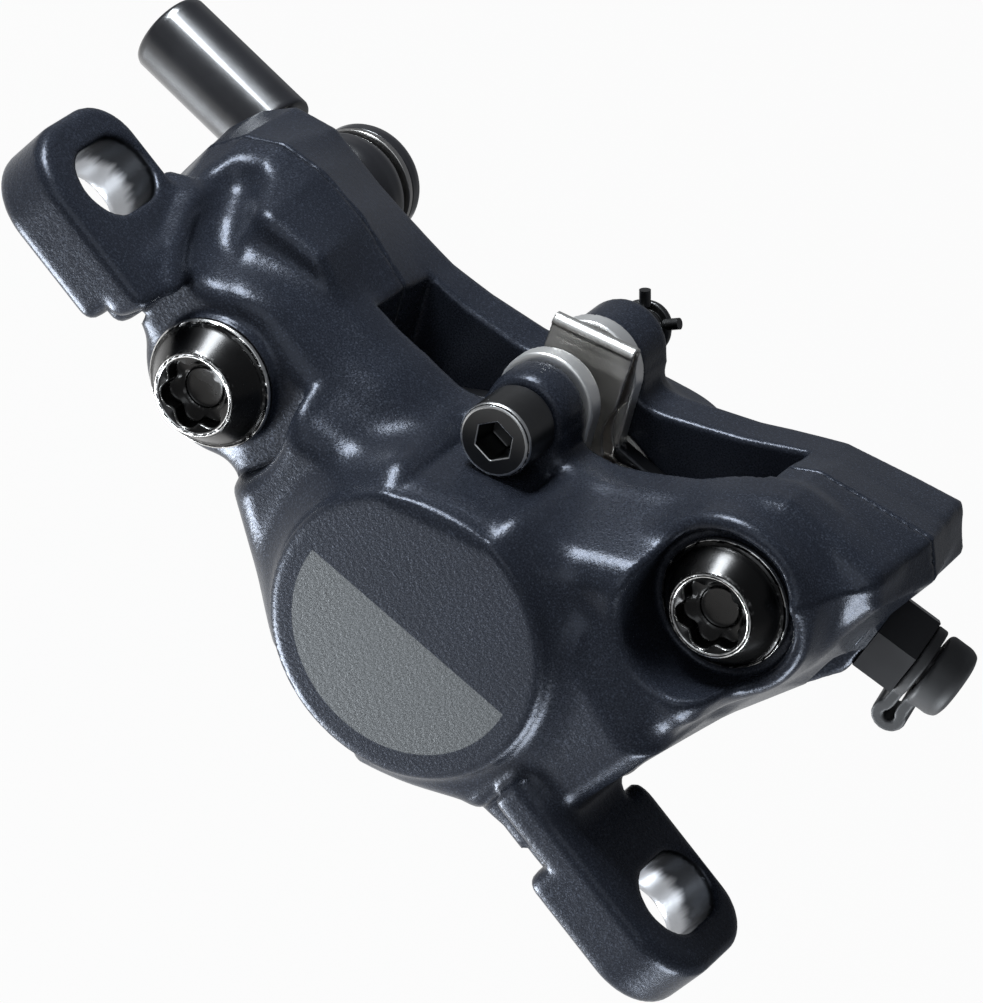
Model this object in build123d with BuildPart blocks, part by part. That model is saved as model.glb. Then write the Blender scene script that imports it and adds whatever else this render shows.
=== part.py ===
from build123d import *
from math import atan2, cos, degrees, radians, sin, sqrt, tan
import os

# Bicycle disc brake caliper, two opposed pistons, bolted to posts through slotted ears.
# Frame: origin midway between the two mounting slots on the mounting face, +X along the
# line of the slots, +Y along the disc's axle towards the wheel, +Z away from the posts.
# The body is tilted about Y. In its own outlines, points are (along, up) from the piston
# axis, and depth counts from the brake disc's mid-plane towards the outer side.

# mounting ears
mount_spacing = 74.0
slot_width = 6.4
slot_length = 9.2
ear_thickness = 6.2
ear_front = 7.9
ear_back = 6.0
ear_end = 6.4
ear_corner = 5.5
ear_back_corner = 4.0
ear_root_x = 22.0
ear_notch_x = 28.4
ear_notch = 2.7

# brake disc and where it runs
rotor_offset = 14.0
rotor_radius = 80.0
rotor_gap = 4.4
rim_clearance = 1.6
rim_height = 7.5

# body
body_tilt = 31.0
piston_x = 7.0
piston_z = 6.0
half_length = 36.0
half_height = 24.0
left_arm_front = -4.0
right_arm_front = -6.4
arm_back_depth = 5.0
plate_depth = 9.0
shoulder_depth = 19.0
face_depth = 22.0
inner_depth = 16.6
barrel_radius = 14.0
barrel_round = 3.2
inner_barrel_radius = 13.4
inner_round = 2.4

# pistons and seals
piston_radius = 11.0
piston_length = 8.4
piston_wall = 1.6
bore_clearance = 0.04
outer_bore_length = 13.5
inner_bore_length = 8.6
seal_height = 1.5
seal_width = 2.0
seal_setback = 1.8
seal_clearance = 0.03

# pads
pocket_left = 16.3
pocket_right = 19.8
pocket_depth = 5.0
plate_thickness = 1.8
lining_thickness = 2.0
plate_back_clearance = 0.1
pad_half_width = 14.5
pad_bottom = 9.5
pad_corner = 2.5
pad_neck_half = 4.3
lining_half_width = 13.4
lining_bottom = 8.2
lining_top = 6.4
lining_corner = 2.0
lining_groove = 0.9
lining_groove_depth = 0.8

# pad axle, its lugs and its clip
axle_radius = 2.0
axle_above_piston = 2.4
axle_clearance = 0.05
pad_hole_clearance = 0.12
axle_head_radius = 3.2
axle_head_depth = 14.0
axle_seat_depth = 9.4
axle_tip_depth = -15.4
axle_key_flats = 3.0
axle_key_depth = 3.2
axle_edge = 0.35
lug_radius = 3.8
lug_drop = 3.8
lug_flare = 1.6
rear_lug_depth = 10.8
recess_radius = 5.3
recess_drop = 3.4
rear_slope_drop = 1.4
rear_slope_fall = 4.2
clip_wire_radius = 0.5
clip_depth = -13.9
groove_radius = 1.35
groove_width = 1.2
clip_clearance = 0.05
clip_gap_angle = 68.0
clip_gap_half_angle = 38.0
clip_prong_length = 1.4

# body bolts
bolt_height = 10.25
left_bolt_along = -24.1
right_bolt_along = 22.1
bolt_radius = 3.0
bolt_hole_clearance = 0.15
bolt_thread_clearance = 0.04
bolt_flange_radius = 5.6
bolt_flange_height = 1.0
bolt_cone_radius = 5.25
bolt_rim_radius = 3.6
bolt_cone_height = 2.3
bolt_key_radius = 2.65
bolt_lobe_radius = 0.75
bolt_key_depth = 2.8
left_seat_depth = 16.1
right_seat_depth = 12.1
bolt_tip_depth = -8.6
left_boss_radius = 6.6
right_boss_radius = 7.9
bolt_recess_radius = 6.7
right_boss_depth = 14.2
bolt_chamfer = 0.5

# hose fitting
banjo_along = -29.9
banjo_up = 13.6
banjo_seat_depth = -11.7
banjo_boss_radius = 6.3
banjo_spot_radius = 6.6
washer_thickness = 0.6
washer_radius = 5.1
banjo_eye_radius = 5.5
banjo_eye_round = 1.8
banjo_eye_thickness = 5.6
banjo_bolt_radius = 3.0
banjo_bolt_clearance = 0.06
banjo_head_radius = 5.1
banjo_head_height = 1.6
banjo_head_edge = 0.6
banjo_key_flats = 4.0
banjo_key_depth = 2.2
banjo_thread_length = 6.4
hose_drop_angle = 17.0
hose_side_angle = 11.0
hose_sleeve_radius = 3.75
hose_sleeve_start = 8.2
hose_sleeve_end = 22.2
hose_stem_radius = 2.8
hose_neck_radius = 1.6
hose_neck_start = 4.4
hose_stem_start = 6.2
hose_bore_radius = 2.5
hose_bore_length = 8.0
sleeve_edge = 0.4

# bleed nipple and cap
nipple_along = 29.55
nipple_up = 3.6
nipple_depth = -5.6
nipple_rise_angle = 12.6
nipple_side_angle = 9.0
nipple_flats = 7.0
nipple_hex_length = 3.8
nipple_thread_radius = 2.5
nipple_thread_clearance = 0.05
nipple_thread_length = 3.6
nipple_neck_radius = 1.9
nipple_barb_radius = 2.2
nipple_neck_length = 3.4
nipple_bore_radius = 0.8
nipple_boss_radius = 4.3
nipple_boss_length = 6.0
nipple_way_along = 10.0
nipple_way_up = 1.5
nipple_way_depth = -11.2
cap_radius = 3.3
cap_wall_clearance = 0.08
cap_start = 1.4
cap_end = 4.5
cap_end_radius = 2.0
strap_thickness = 1.05
strap_reach = 3.6
strap_width = 3.6

# pad spring
spring_thickness = 0.3
spring_left = 2.8
spring_right = 4.8
spring_waist = 0.6
spring_waist_radius = 4.0
spring_waist_drop = 2.1
spring_rise = 5.5
spring_top_half_gap = 0.5
spring_shoulder_rise = 2.8
spring_shoulder_half_gap = 0.85
spring_heel_drop = 5.2
spring_heel_half_gap = 1.15
spring_foot_drop = 6.4
spring_foot_half_gap = 2.5
spring_arm_drop = 1.8
spring_arm_reach = 2.6
spring_hole_clearance = 0.5

# fluid ways
port_radius = 0.9
port_along = -24.8
port_up = 16.8
port_length = 6.6
port_mouth_along = -7.0
port_mouth_up = 7.8
port_mouth_depth = 11.4
oring_radius = 1.9
oring_wire = 0.6
oring_clearance = 0.04

overrun = 60.0
small_overrun = 1.0

axle_height = piston_radius + axle_above_piston + axle_radius
lug_base = axle_height - lug_drop
recess_floor = axle_height - recess_drop
rear_slope_top = axle_height - rear_slope_drop
rear_slope_foot = rear_slope_top - rear_slope_fall
spring_top = axle_height + spring_rise
spring_shoulder_height = axle_height + spring_shoulder_rise
spring_waist_height = axle_height - spring_waist_drop
spring_heel_height = axle_height - spring_heel_drop
spring_foot_height = axle_height - spring_foot_drop

tilt = radians(body_tilt)
along_dir = Vector(cos(tilt), 0, sin(tilt))
up_dir = Vector(-sin(tilt), 0, cos(tilt))
out_dir = Vector(0, -1, 0)


def spot(along, up, depth=0):
    base = Vector(piston_x, rotor_offset, piston_z)
    return base + along_dir * along + up_dir * up + out_dir * depth


def face_plane(depth=0, along=0, up=0):
    return Plane(origin=spot(along, up, depth), x_dir=along_dir, z_dir=out_dir)


def scaled(shares):
    return [(along * half_length, up * half_height) for along, up in shares]


def flat(points, depth=0):
    with BuildSketch(face_plane(depth)) as profile:
        with BuildLine():
            Polyline(*points, close=True)
        make_face()
    return profile.sketch


def disc(radius, along=0, up=0, depth=0):
    with BuildSketch(face_plane(depth, along, up)) as profile:
        Circle(radius)
    return profile.sketch


def ring(outer, inner, along=0, up=0, depth=0):
    with BuildSketch(face_plane(depth, along, up)) as profile:
        Circle(outer)
        Circle(inner, mode=Mode.SUBTRACT)
    return profile.sketch


def hexagon(across_flats, along, up, depth):
    with BuildSketch(face_plane(depth, along, up)) as profile:
        RegularPolygon(across_flats / 2, side_count=6, major_radius=False)
    return profile.sketch


def drill(start, end, radius):
    way = end - start
    with BuildSketch(Plane(origin=start, z_dir=way)) as profile:
        Circle(radius)
    extrude(profile.sketch, amount=way.length, mode=Mode.SUBTRACT)


# Outlines of the bridge plate: at the outer ridge, at the seam and at the inner ridge.
ridge_shares = [
    (-1.017, 0.675),
    (-0.978, 0.800),
    (-0.889, 0.908),
    (-0.722, 0.929),
    (-0.575, 0.875),
    (-0.486, 0.729),
    (-0.378, 0.642),
    (-0.150, 0.521),
    (0.150, 0.517),
    (0.300, 0.558),
    (0.419, 0.625),
    (0.561, 0.717),
    (0.650, 0.787),
    (0.792, 0.733),
    (0.897, 0.679),
    (0.919, 0.562),
    (0.800, 0.254),
    (0.719, 0.100),
    (0.614, -0.117),
    (0.481, -0.379),
    (0.403, -0.500),
    (-0.361, -0.500),
    (-0.528, -0.333),
    (-0.639, -0.042),
    (-0.750, 0.192),
    (-0.858, 0.362),
    (-0.967, 0.579),
]
seam_shares = [
    (-1.078, 0.679),
    (-1.006, 0.854),
    (-0.928, 0.946),
    (-0.847, 0.975),
    (-0.614, 0.862),
    (-0.453, 0.704),
    (-0.350, 0.604),
    (-0.150, 0.517),
    (0.150, 0.517),
    (0.275, 0.554),
    (0.408, 0.612),
    (0.556, 0.708),
    (0.625, 0.742),
    (0.775, 0.717),
    (0.925, 0.692),
    (0.961, 0.554),
    (0.847, 0.263),
    (0.783, 0.008),
    (0.633, -0.208),
    (0.486, -0.458),
    (0.389, -0.480),
    (-0.361, -0.480),
    (-0.545, -0.450),
    (-0.665, -0.150),
    (-0.764, 0.192),
    (-0.858, 0.362),
    (-0.967, 0.579),
]
inner_shares = [
    (-1.117, 0.642),
    (-1.075, 0.767),
    (-1.006, 0.858),
    (-0.931, 0.912),
    (-0.681, 0.771),
    (-0.453, 0.642),
    (-0.342, 0.596),
    (-0.150, 0.558),
    (0.169, 0.542),
    (0.383, 0.579),
    (0.458, 0.617),
    (0.533, 0.646),
    (0.594, 0.667),
    (0.769, 0.662),
    (0.889, 0.654),
    (0.931, 0.487),
    (0.861, 0.271),
    (0.783, -0.042),
    (0.633, -0.229),
    (0.458, -0.438),
    (0.333, -0.521),
    (-0.333, -0.521),
    (-0.514, -0.417),
    (-0.639, -0.167),
    (-0.764, 0.192),
    (-0.875, 0.333),
    (-1.000, 0.500),
]
# The shoulder narrows from each ridge towards its piston.
crest_shares = [
    (-0.560, 0.560),
    (-0.400, 0.480),
    (-0.194, 0.440),
    (0.167, 0.440),
    (0.480, 0.520),
    (0.720, 0.500),
    (0.660, 0.080),
    (0.440, -0.300),
    (-0.340, -0.350),
    (-0.540, 0.150),
]
crest_root_shares = [
    (-0.780, 0.860),
    (-0.458, 0.680),
    (-0.194, 0.513),
    (0.167, 0.513),
    (0.620, 0.740),
    (0.900, 0.640),
    (0.760, 0.180),
    (0.480, -0.300),
    (-0.380, -0.420),
    (-0.700, 0.200),
]
inner_crest_shares = [
    (-0.640, 0.560),
    (-0.420, 0.450),
    (-0.194, 0.430),
    (0.167, 0.430),
    (0.480, 0.450),
    (0.760, 0.420),
    (0.680, 0.060),
    (0.440, -0.375),
    (-0.360, -0.400),
    (-0.640, 0.200),
]
inner_root_shares = [
    (-0.960, 0.840),
    (-0.458, 0.620),
    (-0.194, 0.540),
    (0.167, 0.540),
    (0.590, 0.640),
    (0.880, 0.620),
    (0.820, 0.200),
    (0.500, -0.375),
    (-0.400, -0.440),
    (-0.760, 0.200),
]

slot_x = mount_spacing / 2
ear_left = slot_x + ear_end
rim_centre = rim_height - rotor_radius
rim_radius = rotor_radius + rim_clearance
pocket_width = pocket_left + pocket_right
pocket_middle = (pocket_right - pocket_left) / 2
bore_radius = piston_radius + bore_clearance
groove_outer = piston_radius + seal_height
axle_hole_radius = axle_radius + axle_clearance
plate_back_depth = pocket_depth - plate_back_clearance
plate_front_depth = plate_back_depth - plate_thickness
lining_front_depth = plate_front_depth - lining_thickness
hose_direction = Vector(
    -cos(radians(hose_drop_angle)) * cos(radians(hose_side_angle)),
    sin(radians(hose_side_angle)),
    -sin(radians(hose_drop_angle)) * cos(radians(hose_side_angle)),
)
nipple_direction = Vector(
    cos(radians(nipple_rise_angle)) * cos(radians(nipple_side_angle)),
    sin(radians(nipple_side_angle)),
    sin(radians(nipple_rise_angle)) * cos(radians(nipple_side_angle)),
)
banjo_inner_depth = banjo_seat_depth - washer_thickness
banjo_outer_depth = banjo_inner_depth - banjo_eye_thickness
banjo_head_depth = banjo_outer_depth - washer_thickness
banjo_middle = spot(banjo_along, banjo_up, (banjo_inner_depth + banjo_outer_depth) / 2)
nipple_seat = spot(nipple_along, nipple_up, nipple_depth)
strap_side = nipple_direction.cross(Vector(0, 0, -1)).normalized()


def hose_plane(distance=0):
    return Plane(origin=banjo_middle + hose_direction * distance, z_dir=hose_direction)


def nipple_plane(distance=0):
    return Plane(origin=nipple_seat + nipple_direction * distance, z_dir=nipple_direction)


def nipple_disc(radius, distance=0):
    with BuildSketch(nipple_plane(distance)) as profile:
        Circle(radius)
    return profile.sketch


def nipple_hexagon():
    with BuildSketch(nipple_plane()) as profile:
        RegularPolygon(nipple_flats / 2, side_count=6, major_radius=False)
    return profile.sketch


def ear_outline():
    """Both ears in plan, as one face each, with their corners rounded."""
    with BuildSketch() as profile:
        for side in (-1, 1):
            with BuildLine():
                Polyline(
                    (side * ear_root_x, -ear_front),
                    (side * ear_left, -ear_front),
                    (side * ear_left, ear_back),
                    (side * ear_notch_x, ear_back),
                    (side * ear_notch_x, ear_back - ear_notch),
                    (side * ear_root_x, ear_back - ear_notch),
                    close=True,
                )
            make_face()
        outer = profile.vertices().filter_by(lambda v: abs(v.X) > slot_x)
        fillet(outer.filter_by(lambda v: v.Y < 0), ear_corner)
        fillet(profile.vertices().filter_by(lambda v: v.Y > 0 and abs(v.X) > slot_x), ear_back_corner)
    return profile.sketch


def slot_outline():
    with BuildSketch() as profile:
        with Locations((-slot_x, 0), (slot_x, 0)):
            SlotOverall(slot_length, slot_width, rotation=90)
    return profile.sketch


def front_outline(points, y_front, y_back):
    """A face given in (X, Z), ready to be carried from y_front back to y_back."""
    with BuildSketch(Plane(origin=(0, y_front, 0), x_dir=(1, 0, 0), z_dir=(0, 1, 0))) as profile:
        with BuildLine():
            Polyline(*[(x, -z) for x, z in points], close=True)
        make_face()
    return profile.sketch


# Arms from the piston barrel to the ears, seen from the front, as (X, Z) shares of the
# slot distance and the ear thickness.
left_arm_shares = [
    (-0.800, 0.00),
    (-0.800, 1.00),
    (-0.620, 1.45),
    (-0.270, 2.40),
    (0.050, 2.60),
    (-0.050, -0.50),
    (-0.180, -0.30),
    (-0.240, -0.08),
    (-0.330, 0.17),
    (-0.420, 0.00),
]
right_arm_shares = [
    (0.340, -1.10),
    (0.450, -0.68),
    (0.550, -0.26),
    (0.650, 0.00),
    (0.712, 0.00),
    (0.712, 1.00),
    (0.720, 2.60),
    (0.420, 2.90),
]


def pocket_cut():
    """The pads' pocket, open above and below, centred on the disc's plane."""
    with BuildSketch(face_plane(pocket_depth)) as profile:
        with Locations((pocket_middle, 0)):
            Rectangle(pocket_width, overrun)
    extrude(profile.sketch, amount=-2 * pocket_depth, mode=Mode.SUBTRACT)


def rotor_cut():
    """The gap that the brake disc turns in."""
    extrude(
        disc(rim_radius, 0, rim_centre, rotor_gap / 2),
        amount=-rotor_gap,
        mode=Mode.SUBTRACT,
    )


def bore_cut(side, length):
    """A piston bore with its square seal groove, on one side of the disc."""
    extrude(disc(bore_radius, depth=side * pocket_depth), amount=side * length, mode=Mode.SUBTRACT)
    groove_depth = pocket_depth + seal_setback
    extrude(
        disc(groove_outer, depth=side * groove_depth),
        amount=side * seal_width,
        mode=Mode.SUBTRACT,
    )


def lug_outline(depth, shoulder):
    """A lug round the pad axle that widens down into the plate."""
    with BuildSketch(face_plane(depth, 0, axle_height)) as profile:
        Circle(lug_radius)
        with BuildLine():
            Polyline(
                (-lug_radius, 0),
                (lug_radius, 0),
                (lug_radius + shoulder, lug_base - axle_height),
                (-lug_radius - shoulder, lug_base - axle_height),
                close=True,
            )
        make_face()
    return profile.sketch


def recess_outline():
    """The pocket below the axle's head, with a flat floor above the piston bore."""
    with BuildSketch(face_plane(axle_seat_depth, 0, axle_height)) as profile:
        Circle(recess_radius)
        with Locations((0, recess_floor - axle_height - recess_radius)):
            Rectangle(2 * recess_radius, 2 * recess_radius, mode=Mode.SUBTRACT)
    return profile.sketch


with BuildPart() as outer_barrel:
    extrude(disc(barrel_radius), amount=face_depth)
    fillet(outer_barrel.faces().sort_by(Axis.Y)[0].edges(), barrel_round)

with BuildPart() as inner_barrel:
    extrude(disc(inner_barrel_radius), amount=-inner_depth)
    fillet(inner_barrel.faces().sort_by(Axis.Y)[-1].edges(), inner_round)

with BuildPart() as outer_half:
    loft([flat(scaled(seam_shares)), flat(scaled(ridge_shares), plate_depth)], ruled=True)
    crest_root = flat(scaled(crest_root_shares), plate_depth)
    loft([crest_root, flat(scaled(crest_shares), shoulder_depth)], ruled=True)
    add(outer_barrel.part)
    extrude(disc(left_boss_radius, left_bolt_along, bolt_height), amount=left_seat_depth)
    extrude(disc(right_boss_radius, right_bolt_along, bolt_height), amount=right_boss_depth)
    left_arm = [(x * slot_x, z * ear_thickness) for x, z in left_arm_shares]
    right_arm = [(x * slot_x, z * ear_thickness) for x, z in right_arm_shares]
    arm_back = rotor_offset - arm_back_depth
    for corners, arm_front in ((left_arm, left_arm_front), (right_arm, right_arm_front)):
        extrude(front_outline(corners, arm_front, arm_back), amount=arm_back - arm_front)
    extrude(ear_outline(), amount=ear_thickness)
    extrude(lug_outline(pocket_depth, lug_flare), amount=axle_seat_depth - pocket_depth)
    extrude(slot_outline(), amount=ear_thickness, mode=Mode.SUBTRACT)
    pocket_cut()
    rotor_cut()
    bore_cut(1, outer_bore_length)
    extrude(disc(axle_hole_radius, 0, axle_height), amount=axle_seat_depth, mode=Mode.SUBTRACT)
    extrude(recess_outline(), amount=overrun, mode=Mode.SUBTRACT)
    for along, seat in ((left_bolt_along, left_seat_depth), (right_bolt_along, right_seat_depth)):
        extrude(disc(bolt_radius + bolt_hole_clearance, along, bolt_height), amount=seat, mode=Mode.SUBTRACT)
        extrude(disc(bolt_recess_radius, along, bolt_height, seat), amount=overrun, mode=Mode.SUBTRACT)
    port_end = spot(port_along, port_up, port_length)
    drill(spot(port_along, port_up), port_end, port_radius)
    drill(port_end, spot(port_mouth_along, port_mouth_up, port_mouth_depth), port_radius)
    extrude(disc(oring_radius + oring_wire, port_along, port_up), amount=oring_wire, mode=Mode.SUBTRACT)
outer_half.part.label = "outer_half"

with BuildPart() as inner_half:
    loft([flat(scaled(seam_shares)), flat(scaled(inner_shares), -plate_depth)], ruled=True)
    inner_crest_depth = inner_round - inner_depth
    inner_root = flat(scaled(inner_root_shares), -plate_depth)
    loft([inner_root, flat(scaled(inner_crest_shares), inner_crest_depth)], ruled=True)
    add(inner_barrel.part)
    extrude(disc(left_boss_radius, left_bolt_along, bolt_height), amount=banjo_seat_depth)
    extrude(disc(banjo_boss_radius, banjo_along, banjo_up), amount=banjo_seat_depth)
    extrude(lug_outline(-pocket_depth, lug_flare), amount=pocket_depth - rear_lug_depth)
    extrude(nipple_disc(nipple_boss_radius, -nipple_boss_length), amount=nipple_boss_length)
    with BuildSketch(face_plane()):
        Rectangle(2 * overrun, 2 * overrun)
    extrude(amount=overrun, mode=Mode.SUBTRACT)
    extrude(nipple_disc(nipple_boss_radius + small_overrun), amount=nipple_boss_length, mode=Mode.SUBTRACT)
    banjo_spot = disc(banjo_spot_radius, banjo_along, banjo_up, banjo_seat_depth)
    extrude(banjo_spot, amount=-overrun, mode=Mode.SUBTRACT)
    with BuildSketch(Plane(origin=spot(barrel_radius, 0), x_dir=out_dir, z_dir=-along_dir)):
        with BuildLine():
            Polyline(
                (-rear_lug_depth, rear_slope_top),
                (-inner_depth - small_overrun, rear_slope_foot),
                (-inner_depth - small_overrun, half_height),
                (-rear_lug_depth, half_height),
                close=True,
            )
        make_face()
    extrude(amount=2 * barrel_radius, mode=Mode.SUBTRACT)
    pocket_cut()
    rotor_cut()
    bore_cut(-1, inner_bore_length)
    extrude(disc(axle_hole_radius, 0, axle_height), amount=-overrun, mode=Mode.SUBTRACT)
    for along in (left_bolt_along, right_bolt_along):
        extrude(disc(bolt_radius + bolt_thread_clearance, along, bolt_height),
                amount=bolt_tip_depth - small_overrun, mode=Mode.SUBTRACT)
    extrude(disc(banjo_bolt_radius + banjo_bolt_clearance, banjo_along, banjo_up, banjo_seat_depth),
            amount=banjo_thread_length + small_overrun, mode=Mode.SUBTRACT)
    thread_hole = nipple_thread_length + small_overrun
    extrude(nipple_disc(nipple_thread_radius + nipple_thread_clearance, -thread_hole),
            amount=thread_hole + small_overrun, mode=Mode.SUBTRACT)
    inner_port_end = spot(port_along, port_up, -port_length)
    drill(spot(port_along, port_up), inner_port_end, port_radius)
    drill(inner_port_end, spot(port_mouth_along, port_mouth_up, -port_mouth_depth), port_radius)
    drill(inner_port_end, spot(banjo_along, banjo_up, -port_length), port_radius)
    nipple_end = nipple_seat - nipple_direction * nipple_thread_length
    drill(nipple_end, spot(nipple_way_along, nipple_way_up, nipple_way_depth), port_radius)
inner_half.part.label = "inner_half"


def make_bolt(along, seat_depth):
    """A body bolt: plain shank, flange, conical head and a six-lobed key hole."""
    rim_depth = seat_depth + bolt_flange_height + bolt_cone_height
    with BuildPart() as bolt:
        extrude(disc(bolt_radius, along, bolt_height, bolt_tip_depth), amount=seat_depth - bolt_tip_depth)
        chamfer(bolt.faces().sort_by(Axis.Y)[-1].edges(), bolt_chamfer)
        extrude(disc(bolt_flange_radius, along, bolt_height, seat_depth), amount=bolt_flange_height)
        loft([disc(bolt_cone_radius, along, bolt_height, seat_depth + bolt_flange_height),
              disc(bolt_rim_radius, along, bolt_height, rim_depth)], ruled=True)
        with BuildSketch(face_plane(rim_depth, along, bolt_height)):
            Circle(bolt_key_radius - bolt_lobe_radius / 2)
            with PolarLocations(bolt_key_radius - bolt_lobe_radius, 6):
                Circle(bolt_lobe_radius)
        extrude(amount=-bolt_key_depth, mode=Mode.SUBTRACT)
    return bolt


left_bolt = make_bolt(left_bolt_along, left_seat_depth)
left_bolt.part.label = "left_body_bolt"
right_bolt = make_bolt(right_bolt_along, right_seat_depth)
right_bolt.part.label = "right_body_bolt"


def make_piston(side):
    """A piston cup, open towards its pad."""
    front = side * plate_back_depth
    with BuildPart() as piston:
        extrude(disc(piston_radius, depth=front), amount=side * piston_length)
        extrude(disc(piston_radius - piston_wall, depth=front),
                amount=side * (piston_length - 2 * piston_wall), mode=Mode.SUBTRACT)
        chamfer(piston.edges().filter_by(GeomType.CIRCLE).group_by(SortBy.RADIUS)[-1], piston_wall / 4)
    return piston


def make_seal(side):
    """A square-section ring in its groove round the piston."""
    depth = side * (pocket_depth + seal_setback + seal_clearance)
    with BuildPart() as seal:
        extrude(ring(groove_outer - seal_clearance, piston_radius + seal_clearance, depth=depth),
                amount=side * (seal_width - 2 * seal_clearance))
    return seal


def make_pad_plate(side):
    """A backing plate with a neck up to the tab that hangs on the pad axle."""
    depth = side * plate_front_depth
    with BuildPart() as plate:
        with BuildSketch(face_plane(depth)) as profile:
            with BuildLine():
                Polyline(
                    (-pad_half_width, -pad_bottom + pad_corner),
                    (-pad_half_width + pad_corner, -pad_bottom),
                    (pad_half_width - pad_corner, -pad_bottom),
                    (pad_half_width, -pad_bottom + pad_corner),
                    (pad_half_width, rim_height - pad_corner),
                    (pad_half_width - pad_corner, rim_height),
                    (pad_neck_half, rim_height + pad_corner),
                    (pad_neck_half, axle_height),
                    (-pad_neck_half, axle_height),
                    (-pad_neck_half, rim_height + pad_corner),
                    (-pad_half_width + pad_corner, rim_height),
                    (-pad_half_width, rim_height - pad_corner),
                    close=True,
                )
            make_face()
            with Locations((0, axle_height)):
                Circle(pad_neck_half)
                Circle(axle_radius + pad_hole_clearance, mode=Mode.SUBTRACT)
        extrude(amount=side * plate_thickness)
    return plate


def make_lining(side):
    """A friction block with a groove across its middle."""
    depth = side * lining_front_depth
    height = lining_top + lining_bottom
    middle = (lining_top - lining_bottom) / 2
    with BuildPart() as lining:
        with BuildSketch(face_plane(depth)) as block:
            with Locations((0, middle)):
                RectangleRounded(2 * lining_half_width, height, lining_corner)
        extrude(amount=side * lining_thickness)
        with BuildSketch(face_plane(depth)) as groove:
            with Locations((0, middle)):
                Rectangle(lining_groove, height + small_overrun)
        extrude(amount=side * lining_groove_depth, mode=Mode.SUBTRACT)
    return lining


for name, side in (("outer", 1), ("inner", -1)):
    piston = make_piston(side)
    piston.part.label = name + "_piston"
    seal = make_seal(side)
    seal.part.label = name + "_piston_seal"
    plate = make_pad_plate(side)
    plate.part.label = name + "_pad_plate"
    lining = make_lining(side)
    lining.part.label = name + "_pad_lining"
    for made in (piston, seal, plate, lining):
        os.makedirs("parts", exist_ok=True)
        export_step(made.part, "parts/" + made.part.label + ".step")

with BuildPart() as crossover_oring:
    oring_outer = oring_radius + oring_wire - oring_clearance
    extrude(ring(oring_outer, oring_radius - oring_wire, port_along, port_up, oring_clearance),
            amount=oring_wire - 2 * oring_clearance)
crossover_oring.part.label = "crossover_oring"

with BuildPart() as pad_axle:
    extrude(disc(axle_radius, 0, axle_height, axle_tip_depth), amount=axle_seat_depth - axle_tip_depth)
    axle_head = disc(axle_head_radius, 0, axle_height, axle_seat_depth)
    extrude(axle_head, amount=axle_head_depth - axle_seat_depth)
    chamfer(pad_axle.faces().sort_by(Axis.Y)[0].edges(), axle_edge)
    chamfer(pad_axle.faces().sort_by(Axis.Y)[-1].edges(), axle_edge)
    axle_key = hexagon(axle_key_flats, 0, axle_height, axle_head_depth)
    extrude(axle_key, amount=-axle_key_depth, mode=Mode.SUBTRACT)
    extrude(ring(axle_radius + small_overrun, groove_radius, 0, axle_height, clip_depth - groove_width / 2),
            amount=groove_width, mode=Mode.SUBTRACT)
pad_axle.part.label = "pad_axle"

clip_radius = groove_radius + clip_clearance + clip_wire_radius
clip_start = clip_gap_angle + clip_gap_half_angle


def clip_point(radius, angle):
    turn = radians(angle)
    return spot(radius * cos(turn), axle_height + radius * sin(turn), clip_depth)


with BuildPart() as axle_clip:
    start_turn = radians(clip_start)
    radial = along_dir * cos(start_turn) + up_dir * sin(start_turn)
    clip_root = clip_point(clip_radius, clip_start)
    with BuildSketch(Plane(origin=clip_root, x_dir=radial, z_dir=radial.cross(out_dir))):
        Circle(clip_wire_radius)
    revolve(axis=Axis(spot(0, axle_height, clip_depth), out_dir),
            revolution_arc=360 - 2 * clip_gap_half_angle)
    for turn in (-1, 1):
        root = clip_gap_angle + turn * clip_gap_half_angle
        with BuildSketch(Plane(origin=clip_point(clip_radius, root),
                               z_dir=clip_point(clip_radius, root) - spot(0, axle_height, clip_depth))):
            Circle(clip_wire_radius)
        extrude(amount=clip_prong_length)
axle_clip.part.label = "axle_clip"

with BuildPart() as banjo_fitting:
    extrude(disc(banjo_eye_radius, banjo_along, banjo_up, banjo_outer_depth), amount=banjo_eye_thickness)
    fillet(banjo_fitting.edges().filter_by(GeomType.CIRCLE), banjo_eye_round)
    with BuildSketch(hose_plane(hose_neck_start)):
        Circle(hose_neck_radius)
    extrude(amount=hose_sleeve_start - hose_neck_start)
    with BuildSketch(hose_plane(hose_stem_start)):
        Circle(hose_stem_radius)
    extrude(amount=hose_sleeve_start - hose_stem_start)
    extrude(disc(banjo_bolt_radius + banjo_bolt_clearance, banjo_along, banjo_up, banjo_outer_depth),
            amount=banjo_eye_thickness, mode=Mode.SUBTRACT)
banjo_fitting.part.label = "banjo_fitting"

with BuildPart() as hose_sleeve:
    with BuildSketch(hose_plane(hose_sleeve_start)):
        Circle(hose_sleeve_radius)
    extrude(amount=hose_sleeve_end - hose_sleeve_start)
    chamfer(hose_sleeve.edges().filter_by(GeomType.CIRCLE), sleeve_edge)
    with BuildSketch(hose_plane(hose_sleeve_end)):
        Circle(hose_bore_radius)
    extrude(amount=-hose_bore_length, mode=Mode.SUBTRACT)
hose_sleeve.part.label = "hose_sleeve"


def make_washer(depth):
    with BuildPart() as washer:
        extrude(ring(washer_radius, banjo_bolt_radius + banjo_bolt_clearance, banjo_along, banjo_up, depth),
                amount=-washer_thickness)
    return washer


inner_washer = make_washer(banjo_seat_depth)
inner_washer.part.label = "banjo_washer_inner"
outer_washer = make_washer(banjo_outer_depth)
outer_washer.part.label = "banjo_washer_outer"

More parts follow.
